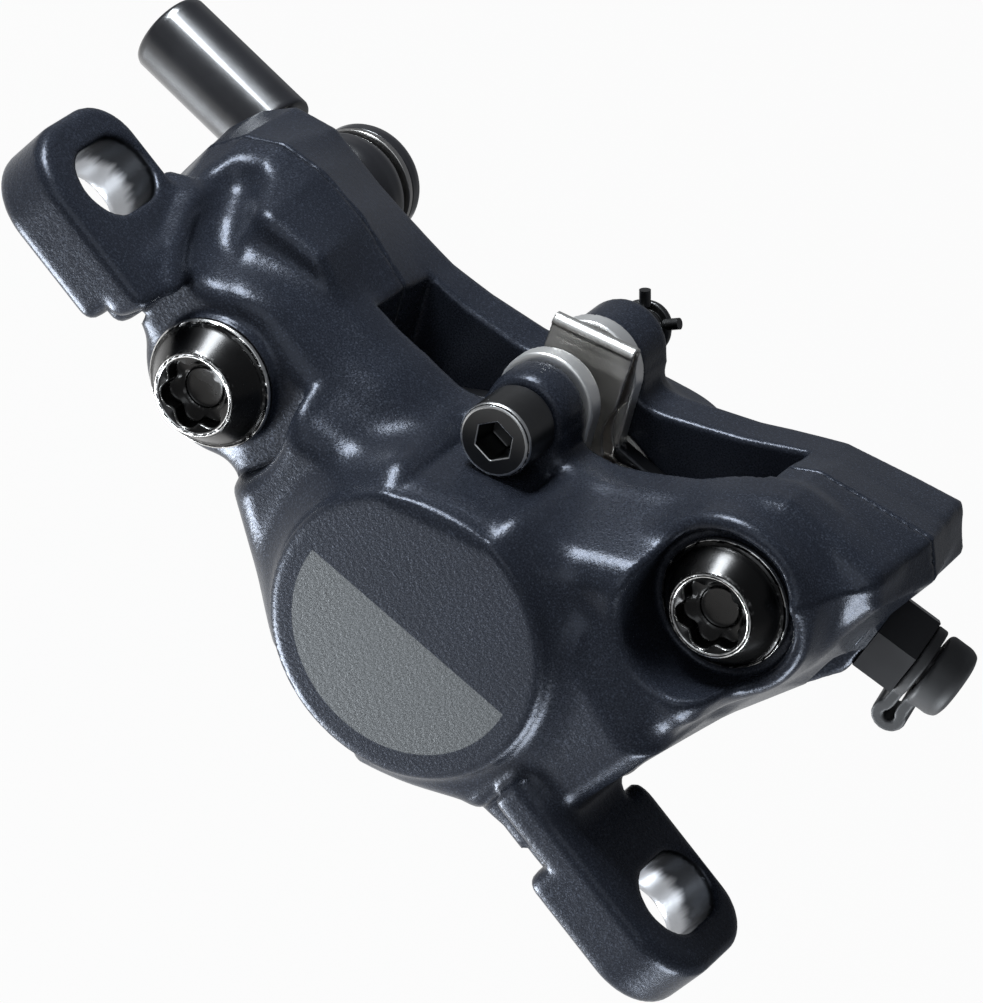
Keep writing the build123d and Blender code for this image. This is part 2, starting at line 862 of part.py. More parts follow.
with BuildPart() as banjo_bolt:
    extrude(disc(banjo_bolt_radius, banjo_along, banjo_up, banjo_head_depth),
            amount=banjo_seat_depth - banjo_head_depth + banjo_thread_length)
    extrude(disc(banjo_head_radius, banjo_along, banjo_up, banjo_head_depth), amount=-banjo_head_height)
    fillet(banjo_bolt.faces().sort_by(Axis.Y)[-1].edges(), banjo_head_edge)
    extrude(hexagon(banjo_key_flats, banjo_along, banjo_up, banjo_head_depth - banjo_head_height),
            amount=banjo_key_depth, mode=Mode.SUBTRACT)
    extrude(disc(port_radius, banjo_along, banjo_up, banjo_seat_depth + banjo_thread_length),
            amount=banjo_outer_depth - banjo_seat_depth - banjo_thread_length + washer_thickness,
            mode=Mode.SUBTRACT)
banjo_bolt.part.label = "banjo_bolt"

barb_start = nipple_hex_length + nipple_neck_length * 2 / 3
nipple_tip = nipple_hex_length + nipple_neck_length

with BuildPart() as bleed_nipple:
    extrude(nipple_disc(nipple_thread_radius, -nipple_thread_length), amount=nipple_thread_length)
    extrude(nipple_hexagon(), amount=nipple_hex_length)
    extrude(nipple_disc(nipple_neck_radius, nipple_hex_length), amount=barb_start - nipple_hex_length)
    barb = nipple_disc(nipple_barb_radius, barb_start)
    loft([barb, nipple_disc(nipple_neck_radius, nipple_tip)], ruled=True)
    extrude(nipple_disc(nipple_bore_radius, nipple_tip), amount=-nipple_tip, mode=Mode.SUBTRACT)
bleed_nipple.part.label = "bleed_nipple"

cap_inner = nipple_barb_radius + cap_wall_clearance
cap_floor = nipple_hex_length + nipple_neck_length + cap_wall_clearance
cap_foot = nipple_hex_length + cap_start
cap_top = nipple_hex_length + cap_end
strap_foot = nipple_hex_length + cap_wall_clearance

cap_middle = (cap_foot + cap_top) / 2

with BuildPart() as bleed_cap:
    extrude(nipple_disc(cap_radius, cap_foot), amount=cap_middle - cap_foot)
    loft([nipple_disc(cap_radius, cap_middle), nipple_disc(cap_end_radius, cap_top)], ruled=True)
    extrude(nipple_disc(cap_radius, strap_foot), amount=strap_thickness)
    extrude(nipple_disc(cap_inner, cap_foot), amount=cap_floor - cap_foot, mode=Mode.SUBTRACT)
    extrude(nipple_disc(cap_inner, strap_foot), amount=strap_thickness, mode=Mode.SUBTRACT)
    strap_outer = cap_radius + strap_reach
    strap_inner = cap_inner + (cap_radius - cap_inner) / 2
    strap_start = nipple_seat + strap_side * (-strap_width / 2)
    with BuildSketch(Plane(origin=strap_start, x_dir=nipple_direction, z_dir=strap_side)):
        with BuildLine():
            Polyline(
                (strap_foot, strap_inner),
                (strap_foot, strap_outer),
                (cap_foot + strap_thickness, strap_outer),
                (cap_foot + strap_thickness, strap_inner),
                (cap_foot, strap_inner),
                (cap_foot, strap_outer - strap_thickness),
                (strap_foot + strap_thickness, strap_outer - strap_thickness),
                (strap_foot + strap_thickness, strap_inner),
                close=True,
            )
        make_face()
    extrude(amount=strap_width)
bleed_cap.part.label = "bleed_cap"

with BuildPart() as pad_spring:
    fold_height = spring_top - spring_top_half_gap - spring_thickness
    leg = [(spring_top_half_gap, fold_height), (spring_shoulder_half_gap, spring_shoulder_height)]
    leg += [(spring_heel_half_gap, spring_heel_height), (spring_foot_half_gap, spring_foot_height)]
    leg_outside = [(gap + spring_thickness, height) for gap, height in reversed(leg)]
    with BuildSketch(Plane(origin=spot(spring_right, 0), x_dir=out_dir, z_dir=-along_dir)):
        with Locations((0, fold_height)):
            Circle(spring_top_half_gap + spring_thickness)
            Circle(spring_top_half_gap, mode=Mode.SUBTRACT)
        with Locations((0, fold_height - spring_top_half_gap - spring_thickness)):
            Rectangle(overrun, 2 * (spring_top_half_gap + spring_thickness), mode=Mode.SUBTRACT)
        for side in (-1, 1):
            with BuildLine():
                Polyline(*[(side * gap, height) for gap, height in leg + leg_outside], close=True)
            make_face()
    extrude(amount=spring_left + spring_right)
    arm_start = spot(spring_right + spring_arm_reach, spring_foot_height)
    with BuildSketch(Plane(origin=arm_start, x_dir=out_dir, z_dir=-along_dir)):
        for side in (-1, 1):
            with Locations((side * (spring_foot_half_gap + spring_thickness / 2), -spring_arm_drop / 2)):
                Rectangle(spring_thickness, spring_arm_drop)
    extrude(amount=spring_left + spring_right + 2 * spring_arm_reach)
    for waist_along in (spring_right - spring_waist + spring_waist_radius,
                        spring_waist - spring_left - spring_waist_radius):
        extrude(disc(spring_waist_radius, waist_along, spring_waist_height, pocket_depth),
                amount=-2 * pocket_depth, mode=Mode.SUBTRACT)
    extrude(disc(axle_radius + spring_hole_clearance, 0, axle_height, pocket_depth),
            amount=-2 * pocket_depth, mode=Mode.SUBTRACT)
pad_spring.part.label = "pad_spring"

others = [outer_half, inner_half, left_bolt, right_bolt, crossover_oring, pad_axle, axle_clip, banjo_fitting]
others += [hose_sleeve, inner_washer, outer_washer, banjo_bolt, bleed_nipple, bleed_cap, pad_spring]
for made in others:
    export_step(made.part, "parts/" + made.part.label + ".step")
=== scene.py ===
import math

import bmesh
import bpy
import numpy as np
from mathutils import Matrix, Vector


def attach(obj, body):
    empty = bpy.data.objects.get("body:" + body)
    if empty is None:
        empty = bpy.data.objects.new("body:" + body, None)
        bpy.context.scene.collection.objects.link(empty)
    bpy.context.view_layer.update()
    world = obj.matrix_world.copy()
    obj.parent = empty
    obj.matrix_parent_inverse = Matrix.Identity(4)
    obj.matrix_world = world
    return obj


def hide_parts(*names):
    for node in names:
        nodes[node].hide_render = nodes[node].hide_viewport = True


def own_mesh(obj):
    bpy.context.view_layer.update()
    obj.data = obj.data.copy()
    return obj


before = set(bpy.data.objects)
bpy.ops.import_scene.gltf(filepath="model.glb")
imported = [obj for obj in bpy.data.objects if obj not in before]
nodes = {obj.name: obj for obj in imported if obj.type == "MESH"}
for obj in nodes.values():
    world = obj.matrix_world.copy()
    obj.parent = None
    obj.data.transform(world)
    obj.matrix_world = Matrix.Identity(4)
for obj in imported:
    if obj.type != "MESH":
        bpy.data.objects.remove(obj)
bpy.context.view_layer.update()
print("frame loaded")

# Lengths are in mm here and meshes are made in metres. The body leans by tilt about Y: along and up are
# counted from the piston axis in the leaning body, y is the frame's own, and d is the depth from the disc.
layout = {
    "tilt": 31,  # degrees
    "piston": (7.0, 6.0),  # x and z of the piston axis
    "discY": 14.0,  # the disc's mid-plane, where the halves meet
    "axle": (0, 15.4),  # this and the next four are along and up
    "leftBolt": (-24.1, 10.25),
    "rightBolt": (22.1, 10.25),
    "banjo": (-29.9, 13.6),
    "nipple": (29.55, 3.6),
    "nippleDepth": 5.6,
    "seatDepths": (16.1, 12.1),  # of the left and the right bolt's head
    "banjoSeat": 11.7,
    "slotX": 37,
    "slotHalf": 1.4,
    "slotR": 3.2,
}
tilt = math.radians(layout["tilt"])
cosT, sinT = math.cos(tilt), math.sin(tilt)
pistonX, pistonZ = layout["piston"]
discY = layout["discY"]
axle, leftBolt, rightBolt, banjo = (layout[key] for key in ("axle", "leftBolt", "rightBolt", "banjo"))
leftSeat, rightSeat = layout["seatDepths"]
front, behind = (0, -1, 0), (0, 1, 0)


def toBody(x, z):
    # Along and up of a place: the frame's x and z turned by tilt about the piston axis.
    return (x - pistonX) * cosT + (z - pistonZ) * sinT, (pistonX - x) * sinT + (z - pistonZ) * cosT


def toRow(a, u, y):
    # The frame's place of a point given along, up and y.
    return np.array([pistonX + a * cosT - u * sinT, y, pistonZ + a * sinT + u * cosT])


# Distance forms. Each is below zero inside its shape, and a blend by k rounds a joint over about k.
def join(p, q, k=0.0):
    # The lesser of two forms, lowered by a parabola where they are closer than k.
    if k <= 0:
        return np.minimum(p, q)
    h = np.maximum(k - np.abs(p - q), 0) / k
    return np.minimum(p, q) - h * h * k / 4


def cut(p, q, k=0.0):
    # p without q.
    return -join(-p, q, k)


def both(p, q, k=0.0):
    # What p and q share.
    return -join(-p, -q, k)


def span(v, low, high):
    # The slab between two values.
    return np.maximum(low - v, v - high)


def blend(p, q, t):
    return p + (q - p) * t


def circle(a, u, ca, cu, r):
    return np.hypot(a - ca, u - cu) - r


def blockEdge(p, q, r):
    # Two outlines crossed at a right angle, with the edge rounded by r.
    p, q = p + r, q + r
    return np.minimum(np.maximum(p, q), 0) + np.hypot(np.maximum(p, 0), np.maximum(q, 0)) - r


def outline(px, pz, points):
    # Distance to a closed outline: the least distance to its sides, signed by how many sides a ray crosses.
    pts = np.array(points, float)
    best = np.full(np.broadcast(px, pz).shape, 1e9)
    within = np.zeros(best.shape, bool)
    for (ax, az), (bx, bz) in zip(pts, np.roll(pts, -1, 0)):
        ex, ez = bx - ax, bz - az
        wx, wz = px - ax, pz - az
        t = np.clip((wx * ex + wz * ez) / (ex * ex + ez * ez), 0, 1)
        best = np.minimum(best, (wx - ex * t) ** 2 + (wz - ez * t) ** 2)
        crosses = (az > pz) != (bz > pz)
        if abs(ez) > 1e-9:
            within ^= crosses & (px < ex * (pz - az) / ez + ax)
    return np.where(within, -1, 1) * np.sqrt(best)


def loft(a, u, d, near, far, start, end):
    # An outline that turns evenly from near into far between two depths.
    return blend(outline(a, u, near), outline(a, u, far), np.clip((d - start) / (end - start), 0, 1))


def rod(x, y, z, points, r):
    # A round rod through the given points: the least distance to its stretches, less r.
    best = 1e9
    for start, end in zip(np.array(points[:-1], float), np.array(points[1:], float)):
        e = end - start
        wx, wy, wz = x - start[0], y - start[1], z - start[2]
        t = np.clip((wx * e[0] + wy * e[1] + wz * e[2]) / (e @ e), 0, 1)
        best = np.minimum(best, (wx - e[0] * t) ** 2 + (wy - e[1] * t) ** 2 + (wz - e[2] * t) ** 2)
    return np.sqrt(best) - r


def aboutAxis(x, y, z, origin, axis):
    # How far a place is along an axis, and how far from it.
    wx, wy, wz = x - origin[0], y - origin[1], z - origin[2]
    t = wx * axis[0] + wy * axis[1] + wz * axis[2]
    return t, np.sqrt(np.maximum(wx * wx + wy * wy + wz * wz - t * t, 0))


def slotWall(x, y):
    # Both mounting slots: a round hole drawn out across the line of the slots.
    aside = np.maximum(np.abs(y) - layout["slotHalf"], 0)
    return np.hypot(np.abs(x) - layout["slotX"], aside) - layout["slotR"]


# What is cut in both halves alike. The seam is the outline on which they meet.
inside = {
    "seam": [(-38.8, 16.5), (-36.4, 21.0), (-33.6, 23.3), (-30.0, 24.2), (-26.0, 23.4), (-21.6, 21.2),
             (-16.3, 16.9), (-12.6, 14.5), (-5.4, 12.4), (5.4, 12.4), (9.9, 13.3), (14.7, 14.7), (20, 17),
             (22.5, 17.8), (27.9, 17.2), (33.3, 16.6), (34.6, 13.3), (30.5, 6.3), (28.2, 0.2), (22.8, -5),
             (17.5, -11), (14, -11.5), (-13, -11.5), (-19.6, -10.8), (-23.9, -3.6), (-27.5, 4.6),
             (-30.9, 8.7), (-34.8, 13.9)],
    "pocketAlong": 1.75,
    "pocketHalf": 18.05,
    "pocketDepth": 5,
    "discUp": -72.5,
    "discR": 81.6,
    "discGap": 2.2,
    "boreR": 11.04,
    "boreStart": 4,
    "grooveWider": 1.46,
    "groove": (6.8, 8.8),
    "axleHoleR": 2.05,
    "plateStart": -3,
    "plateTurn": 9,  # depth at which the seam has turned into the half's own outline
    "rootDepth": 4,  # where shoulders and bosses start
    "lugStart": 5,
    "footHalf": 4.3,
    "footUp": 11.4,
    "overrun": 1,
    "edges": {"pocket": 0.25, "disc": 0.2},
    "blends": {"way": 0.3, "bore": 0.25, "foot": 0.8, "axleHole": 0.2, "seam": 0.22},
}
over = inside["overrun"]


def ways(f, a, u, d, boreEnd):
    # The pad pocket, the disc's gap, the piston's bore and its seal groove are cut from a half.
    edges, soft = inside["edges"], inside["blends"]
    pocket = np.abs(a - inside["pocketAlong"]) - inside["pocketHalf"]
    f = cut(f, blockEdge(pocket, span(d, -over, inside["pocketDepth"]), edges["pocket"]), soft["way"])
    disc = circle(a, u, 0, inside["discUp"], inside["discR"])
    f = cut(f, blockEdge(disc, span(d, -over, inside["discGap"]), edges["disc"]), soft["way"])
    bore = circle(a, u, 0, 0, inside["boreR"])
    f = cut(f, np.maximum(bore, span(d, inside["boreStart"], boreEnd)), soft["bore"])
    return cut(f, np.maximum(bore - inside["grooveWider"], span(d, *inside["groove"])))


def lugForm(a, u, d, r, depth, edge):
    # A round eye for the axle, on a foot that spreads downwards.
    half, low = inside["footHalf"], inside["footUp"]
    foot = outline(a, u, [(-r, axle[1]), (r, axle[1]), (half, low), (-half, low)])
    lug = join(circle(a, u, *axle, r), foot, inside["blends"]["foot"])
    return blockEdge(lug, span(d, inside["lugStart"], depth), edge)


outerHalf = {
    "box": ((-45, -9.3, -15), (45, 14.8, 46)),
    "ridge": [(-36.6, 16.2), (-35.2, 19.2), (-32, 21.8), (-26, 22.3), (-20.7, 21), (-17.5, 17.5),
              (-13.6, 15.4), (-5.4, 12.5), (5.4, 12.4), (10.8, 13.4), (15.1, 15), (20.2, 17.2), (23.4, 18.9),
              (28.5, 17.6), (32.3, 16.3), (33.1, 13.5), (28.8, 6.1), (25.9, 2.4), (22.1, -2.8), (17.3, -9.1),
              (14.5, -12), (-13, -12), (-19, -8), (-23, -1), (-27, 4.6), (-30.9, 8.7), (-34.8, 13.9)],
    "root": [(-28.1, 20.6), (-16.5, 16.3), (-7, 12.3), (6, 12.3), (22.3, 17.8), (32.4, 15.4), (27.4, 4.3),
             (17.3, -7.2), (-13.7, -10.1), (-25.2, 4.8)],
    "crest": [(-20.2, 13.4), (-14.4, 11.5), (-7, 10.6), (6, 10.6), (17.3, 12.5), (25.9, 12), (23.8, 1.9),
              (15.8, -7.2), (-12.2, -8.4), (-19.4, 3.6)],
    "shoulderDepth": 19,
    # Place, radius, depth, edge and blend.
    "bosses": ((leftBolt, 8.0, 15.2, 3.2, 2.0), (rightBolt, 7.9, 13.6, 1.0, 1.6)),
    # The arms' outlines are in x and z. The left one's front steps back towards the barrel.
    "leftArm": [(-29.6, 0), (-29.6, 6.2), (-22.9, 7.8), (-10, 12.4), (1.9, 13.4), (-1.9, -3.1),
                (-6.7, -1.9), (-8.9, -0.5), (-12.2, 1.1), (-15.5, 0)],
    "leftArmY": (-4.2, 9),
    "leftArmStep": (-25, 0.9, 5.5),  # where it starts, its slope and its height
    "rightArm": [(12.6, -6.8), (16.7, -4.2), (20.4, -1.6), (24, 0), (26.3, 0), (26.3, 6.2), (26.6, 16.1),
                 (15.5, 18)],
    "rightArmY": (-6.4, 8),
    "barrelR": 14,
    "barrelDepth": 21.3,
    "faceR": 12.4,
    "faceDepth": 22,
    "earEnd": 43.4,
    "earStart": 22,
    "earMiddleY": -0.95,
    "earHalf": 6.95,
    "earHeight": 6.2,
    "frontCorner": 5.6,
    "backCorner": 4.2,
    "notch": (28.2, 3.3),  # x and y from which the ear is cut away
    "flatFrom": 26.5,  # x beyond which the underside is flat
    "heel": (22, 28.6, -5.0, 2.4),  # x from and to, y and z below which it is cut
    # The forged hollow and the rib at the root of the left ear.
    "hollow": [(-31.4, 8.4, 9.4), (-29.6, 5.0, 9.1), (-27.8, 1.2, 9.1), (-26.2, -1.8, 9.1)],
    "hollowR": 2.1,
    "rib": [(-34.2, 7.2, 4.6), (-33.2, 7.2, 5.5), (-32.1, 6.2, 6.0), (-30.8, 2.6, 6.2), (-29.4, -0.4, 6.2),
            (-27.9, -2.5, 6.1), (-26.2, -4.2, 5.8)],
    "ribR": 1.0,
    "lugR": 3.85,
    "lugDepth": 9.4,
    "pitR": 5.0,
    "pitUp": 12.2,
    "bossRingR": 8.2,
    "collarR": 5.5,
    # Place, depth, radius and blend of the bolt heads' seats.
    "seats": ((leftBolt, leftSeat, 6.0, 0.2), (rightBolt, rightSeat, 6.4, 0.9)),
    "boltHoleR": 3.15,
    "boreEnd": 18.5,
    "axleHoleEnd": 12,
    "coreDepth": 10,  # where the face and the collar start, inside the metal
    "flatGap": 0.02,
    "edges": {"plate": 1.1, "shoulder": 2.2, "leftArm": 1.6, "rightArm": 2.0, "barrel": 3.4, "face": 0.5,
              "ear": 1.1, "lug": 0.6, "pit": 0.5, "collar": 0.3},
    "blends": {"shoulder": 1.8, "arm": 3, "barrel": 2.2, "face": 1.0, "notch": 1.2, "ear": 2.2,
               "hollow": 1.7, "rib": 0.8, "heel": 1.4, "lug": 1.2, "pit": 2.2, "bossRing": 1.4,
               "collar": 0.6, "slot": 0.5},
}


def outerForm(x, y, z):
    # Plate, shoulder, bosses, arms, barrel and ears are joined, then hollows, seats and holes are cut.
    part = outerHalf
    a, u = toBody(x, z)
    d = discY - y
    edges, soft = part["edges"], part["blends"]
    turn, root, core = inside["plateTurn"], inside["rootDepth"], part["coreDepth"]
    plate = loft(a, u, d, inside["seam"], part["ridge"], 0, turn)
    f = blockEdge(plate, span(d, inside["plateStart"], turn), edges["plate"])
    end = part["shoulderDepth"]
    shoulder = loft(a, u, d, part["root"], part["crest"], turn, end)
    f = join(f, blockEdge(shoulder, span(d, root, end), edges["shoulder"]), soft["shoulder"])
    for spot, r, depth, edge, k in part["bosses"]:
        f = join(f, blockEdge(circle(a, u, *spot, r), span(d, root, depth), edge), k)
    start, slope, height = part["leftArmStep"]
    low, high = part["leftArmY"]
    low = np.clip(slope * (x - start), 0, height) + low
    f = join(f, blockEdge(outline(x, z, part["leftArm"]), span(y, low, high), edges["leftArm"]), soft["arm"])
    arm = blockEdge(outline(x, z, part["rightArm"]), span(y, *part["rightArmY"]), edges["rightArm"])
    f = join(f, arm, soft["arm"])
    barrel = blockEdge(circle(a, u, 0, 0, part["barrelR"]), span(d, 0, part["barrelDepth"]), edges["barrel"])
    f = join(f, barrel, soft["barrel"])
    face = blockEdge(circle(a, u, 0, 0, part["faceR"]), span(d, core, part["faceDepth"]), edges["face"])
    f = join(f, face, soft["face"])
    px = np.abs(x)
    corner = np.where(y < 0, part["frontCorner"], part["backCorner"])
    ear = blockEdge(px - part["earEnd"], np.abs(y - part["earMiddleY"]) - part["earHalf"], corner)
    ear = np.maximum(ear, part["earStart"] - px)
    notchX, notchY = part["notch"]
    ear = cut(ear, np.maximum(px - notchX, notchY - y), soft["notch"])
    middle = part["earHeight"] / 2
    f = join(f, blockEdge(ear, np.abs(z - middle) - middle, edges["ear"]), soft["ear"])
    # The underside is cut flat under the ears only.
    f = np.maximum(f, np.where(px > part["flatFrom"], -z - part["flatGap"], -50))
    f = cut(f, rod(x, y, z, part["hollow"], part["hollowR"]), soft["hollow"])
    f = join(f, rod(x, y, z, part["rib"], part["ribR"]), soft["rib"])
    heelFrom, heelTo, heelY, heelZ = part["heel"]
    f = cut(f, np.maximum(span(px, heelFrom, heelTo), np.maximum(y - heelY, z - heelZ)), soft["heel"])
    f = join(f, lugForm(a, u, d, part["lugR"], part["lugDepth"], edges["lug"]), soft["lug"])
    above = part["lugDepth"] - d
    pit = np.maximum(circle(a, u, *axle, part["pitR"]), part["pitUp"] - u)
    f = cut(f, np.maximum(blockEdge(pit, above, edges["pit"]), above), soft["pit"])
    bossDepth = part["bosses"][0][2]
    f = cut(f, np.maximum(circle(a, u, *leftBolt, part["bossRingR"]), bossDepth - d), soft["bossRing"])
    collar = blockEdge(circle(a, u, *leftBolt, part["collarR"]), span(d, core, leftSeat), edges["collar"])
    f = join(f, collar, soft["collar"])
    for spot, seat, r, k in part["seats"]:
        f = cut(f, np.maximum(circle(a, u, *spot, r), seat - d), k)
        f = cut(f, circle(a, u, *spot, part["boltHoleR"]))
    f = cut(f, slotWall(x, y), soft["slot"])
    f = ways(f, a, u, d, part["boreEnd"])
    hole = circle(a, u, *axle, inside["axleHoleR"])
    soft = inside["blends"]
    f = cut(f, np.maximum(hole, span(d, -over, part["axleHoleEnd"])), soft["axleHole"])
    return both(np.maximum(f, d - part["faceDepth"]), y - discY, soft["seam"])


innerHalf = {
    "box": ((-40, 13.2, -15), (40, 32, 46)),
    "back": [(-40.2, 15.4), (-38.7, 18.7), (-36.4, 21.2), (-33.5, 22.9), (-29.5, 22.6), (-24.5, 19.6),
             (-16.3, 15.4), (-12.3, 14.3), (-5.4, 13.4), (6.1, 13), (13.8, 13.9), (16.5, 14.8), (19.2, 15.5),
             (21.4, 16), (27.7, 15.9), (32, 15.7), (33.5, 11.7), (31, 6.5), (28.2, -1), (22.8, -5.5),
             (16.5, -10.5), (12, -12), (-12, -12), (-18.5, -10), (-23, -4), (-27.5, 4.6), (-31.5, 8),
             (-36, 12)],
    "plateDepth": 10,
    "root": [(-34.6, 20.2), (-16.5, 14.9), (-7, 13), (6, 13), (21.2, 15.4), (31.7, 14.9), (29.5, 4.8),
             (18, -9), (-14.4, -10.6), (-27.4, 4.8)],
    "crest": [(-23, 13.4), (-15.1, 10.8), (-7, 10.3), (6, 10.3), (17.3, 10.8), (27.4, 10.1), (24.5, 1.4),
              (15.8, -9), (-13, -9.6), (-23, 4.8)],
    "shoulderDepth": 14.2,
    "boltBossR": 6.3,
    "banjoBossR": 6.2,
    "barrelR": 13.4,
    "barrelDepth": 16.6,
    "slopeUp": 14,  # the slope runs back from here at the lug's depth
    "slopeHalf": 14,
    "slopeNormal": (6.2, 4.2),
    "lugR": 3.8,
    "lugDepth": 10.8,
    "portAxis": (0.96389, 0.15435, 0.21716),
    "portR": 4.2,
    "portRoot": -6,
    "portSeatR": 5.5,
    "portSeatEnd": 6,
    "portHoleR": 2.55,
    "portHole": (-4.6, 2),
    "banjoSeatR": 6.6,
    "banjoHoleR": 3.06,
    "banjoHoleStart": 4.3,
    "boltHoleR": 3.04,
    "boltHoleEnd": 9.6,
    "boreEnd": 13.6,
    "edges": {"plate": 1.2, "shoulder": 1.8, "boltBoss": 1.0, "banjoBoss": 0.6, "barrel": 2.4, "lug": 0.9,
              "port": 0.4},
    "blends": {"shoulder": 2, "boltBoss": 2, "banjoBoss": 1.5, "barrel": 2, "slope": 1.0, "lug": 1.5,
               "port": 1.5, "portSeat": 0.5, "banjoSeat": 0.6},
}


def innerForm(x, y, z):
    # Plate, shoulder, bosses, barrel, lug and bleed port are joined, then seats and holes are cut.
    part = innerHalf
    a, u = toBody(x, z)
    d = y - discY
    edges, soft = part["edges"], part["blends"]
    turn, root, seat = inside["plateTurn"], inside["rootDepth"], layout["banjoSeat"]
    plate = loft(a, u, d, inside["seam"], part["back"], 0, turn)
    f = blockEdge(plate, span(d, inside["plateStart"], part["plateDepth"]), edges["plate"])
    end = part["shoulderDepth"]
    shoulder = loft(a, u, d, part["root"], part["crest"], turn, end)
    f = join(f, blockEdge(shoulder, span(d, root, end), edges["shoulder"]), soft["shoulder"])
    boss = blockEdge(circle(a, u, *leftBolt, part["boltBossR"]), span(d, 0, seat), edges["boltBoss"])
    f = join(f, boss, soft["boltBoss"])
    boss = blockEdge(circle(a, u, *banjo, part["banjoBossR"]), span(d, root, seat), edges["banjoBoss"])
    f = join(f, boss, soft["banjoBoss"])
    barrel = blockEdge(circle(a, u, 0, 0, part["barrelR"]), span(d, 0, part["barrelDepth"]), edges["barrel"])
    f = join(f, barrel, soft["barrel"])
    rise, run = part["slopeNormal"]
    slope = ((u - part["slopeUp"]) * rise + (d - part["lugDepth"]) * run) / math.hypot(rise, run)
    slope = np.maximum(np.maximum(-slope, part["lugDepth"] - d), np.abs(a) - part["slopeHalf"])
    f = cut(f, slope, soft["slope"])
    f = join(f, lugForm(a, u, d, part["lugR"], part["lugDepth"], edges["lug"]), soft["lug"])
    axis = np.array(part["portAxis"])
    port = toRow(*layout["nipple"], discY + layout["nippleDepth"])
    t, off = aboutAxis(x, y, z, port, axis / np.linalg.norm(axis))
    f = join(f, blockEdge(off - part["portR"], span(t, part["portRoot"], 0), edges["port"]), soft["port"])
    f = cut(f, np.maximum(off - part["portSeatR"], span(t, 0, part["portSeatEnd"])), soft["portSeat"])
    f = cut(f, np.maximum(off - part["portHoleR"], span(t, *part["portHole"])))
    f = cut(f, np.maximum(circle(a, u, *banjo, part["banjoSeatR"]), seat - d), soft["banjoSeat"])
    f = cut(f, np.maximum(circle(a, u, *banjo, part["banjoHoleR"]), part["banjoHoleStart"] - d))
    for spot in (leftBolt, rightBolt):
        f = cut(f, np.maximum(circle(a, u, *spot, part["boltHoleR"]), span(d, -over, part["boltHoleEnd"])))
    f = ways(f, a, u, d, part["boreEnd"])
    f = cut(f, circle(a, u, *axle, inside["axleHoleR"]), inside["blends"]["axleHole"])
    return both(f, discY - y, inside["blends"]["seam"])


def surface(form, low, high, step):
    # A form's skin: one point for each grid cell that it crosses, joined to the cells beside it. Then each
    # point is drawn onto the form, along the form's slope.
    axes = [np.arange(l, h + step, step) for l, h in zip(low, high)]
    gx, gy, gz = np.meshgrid(*axes, indexing="ij", sparse=True)
    field = np.broadcast_to(form(gx, gy, gz), [len(v) for v in axes]).astype(np.float32)
    solid = field < 0
    cells = tuple(n - 1 for n in field.shape)
    total = np.zeros(cells + (3,), np.float32)
    count = np.zeros(cells, np.int8)

    def corner(c):
        return field[tuple(slice(c[m], c[m] + cells[m]) for m in range(3))]

    for c in np.ndindex(2, 2, 2):
        for m in range(3):
            if c[m]:
                continue
            end = list(c)
            end[m] = 1
            p, q = corner(c), corner(end)
            hit = (p < 0) != (q < 0)
            t = p[hit] / (p[hit] - q[hit])
            place = np.array(c, np.float32) + np.zeros((len(t), 1), np.float32)
            place[:, m] += t
            total[hit] += place
            count[hit] += 1
    index = -np.ones(cells, np.int64)
    used = np.argwhere(count > 0)
    index[tuple(used.T)] = np.arange(len(used))
    verts = (used + total[tuple(used.T)] / count[tuple(used.T)][:, None]) * step + np.array(low)
    faces = []
    for m in range(3):
        p = np.moveaxis(solid, m, 0)
        change = p[:-1] != p[1:]
        grid = np.moveaxis(index, m, 0)
        at = np.argwhere(change[:, 1:-1, 1:-1]) + (0, 1, 1)
        i, j, k = at.T
        ring = np.stack([grid[i, j - 1, k - 1], grid[i, j, k - 1], grid[i, j, k], grid[i, j - 1, k]], 1)
        outward = p[i, j, k] if m != 1 else ~p[i, j, k]
        ring[~outward] = ring[~outward][:, ::-1]
        faces.append(ring)
    faces = np.concatenate(faces)
    faces = faces[(faces >= 0).all(1)]
    h = 0.02  # half the stretch over which the slope is taken
    for _ in range(4):
        x, y, z = verts.T
        value = form(x, y, z)
        slope = np.stack([form(x + h, y, z) - form(x - h, y, z), form(x, y + h, z) - form(x, y - h, z),
                          form(x, y, z + h) - form(x, y, z - h)], 1) / (2 * h)
        size = np.maximum((slope * slope).sum(1), 0.3)
        verts = verts - np.clip(slope * (value / size)[:, None], -step / 3, step / 3)
    return verts, faces


def makeMesh(name, verts, faces):
    # An object at the origin from places in mm and an array of quads.
    mesh = bpy.data.meshes.new(name)
    mesh.vertices.add(len(verts))
    mesh.vertices.foreach_set("co", (verts / 1000).ravel())
    mesh.loops.add(faces.size)
    mesh.loops.foreach_set("vertex_index", faces.ravel().astype(np.int32))
    mesh.polygons.add(len(faces))
    mesh.polygons.foreach_set("loop_start", np.arange(len(faces), dtype=np.int32) * faces.shape[1])
    mesh.update(calc_edges=True)
    mesh.validate()
    mesh.polygons.foreach_set("use_smooth", np.ones(len(mesh.polygons), bool))
    obj = bpy.data.objects.new(name, mesh)
    bpy.context.scene.collection.objects.link(obj)
    return obj


def mark(obj, name, values):
    layer = obj.data.attributes.new(name, "FLOAT", "POINT")
    layer.data.foreach_set("value", np.asarray(values, np.float32))


def dress(obj, node, body, material):
    # The piece stands for its node, moves with its body and has its finish.
    obj.data.materials.append(material)
    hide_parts(node)
    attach(obj, body)


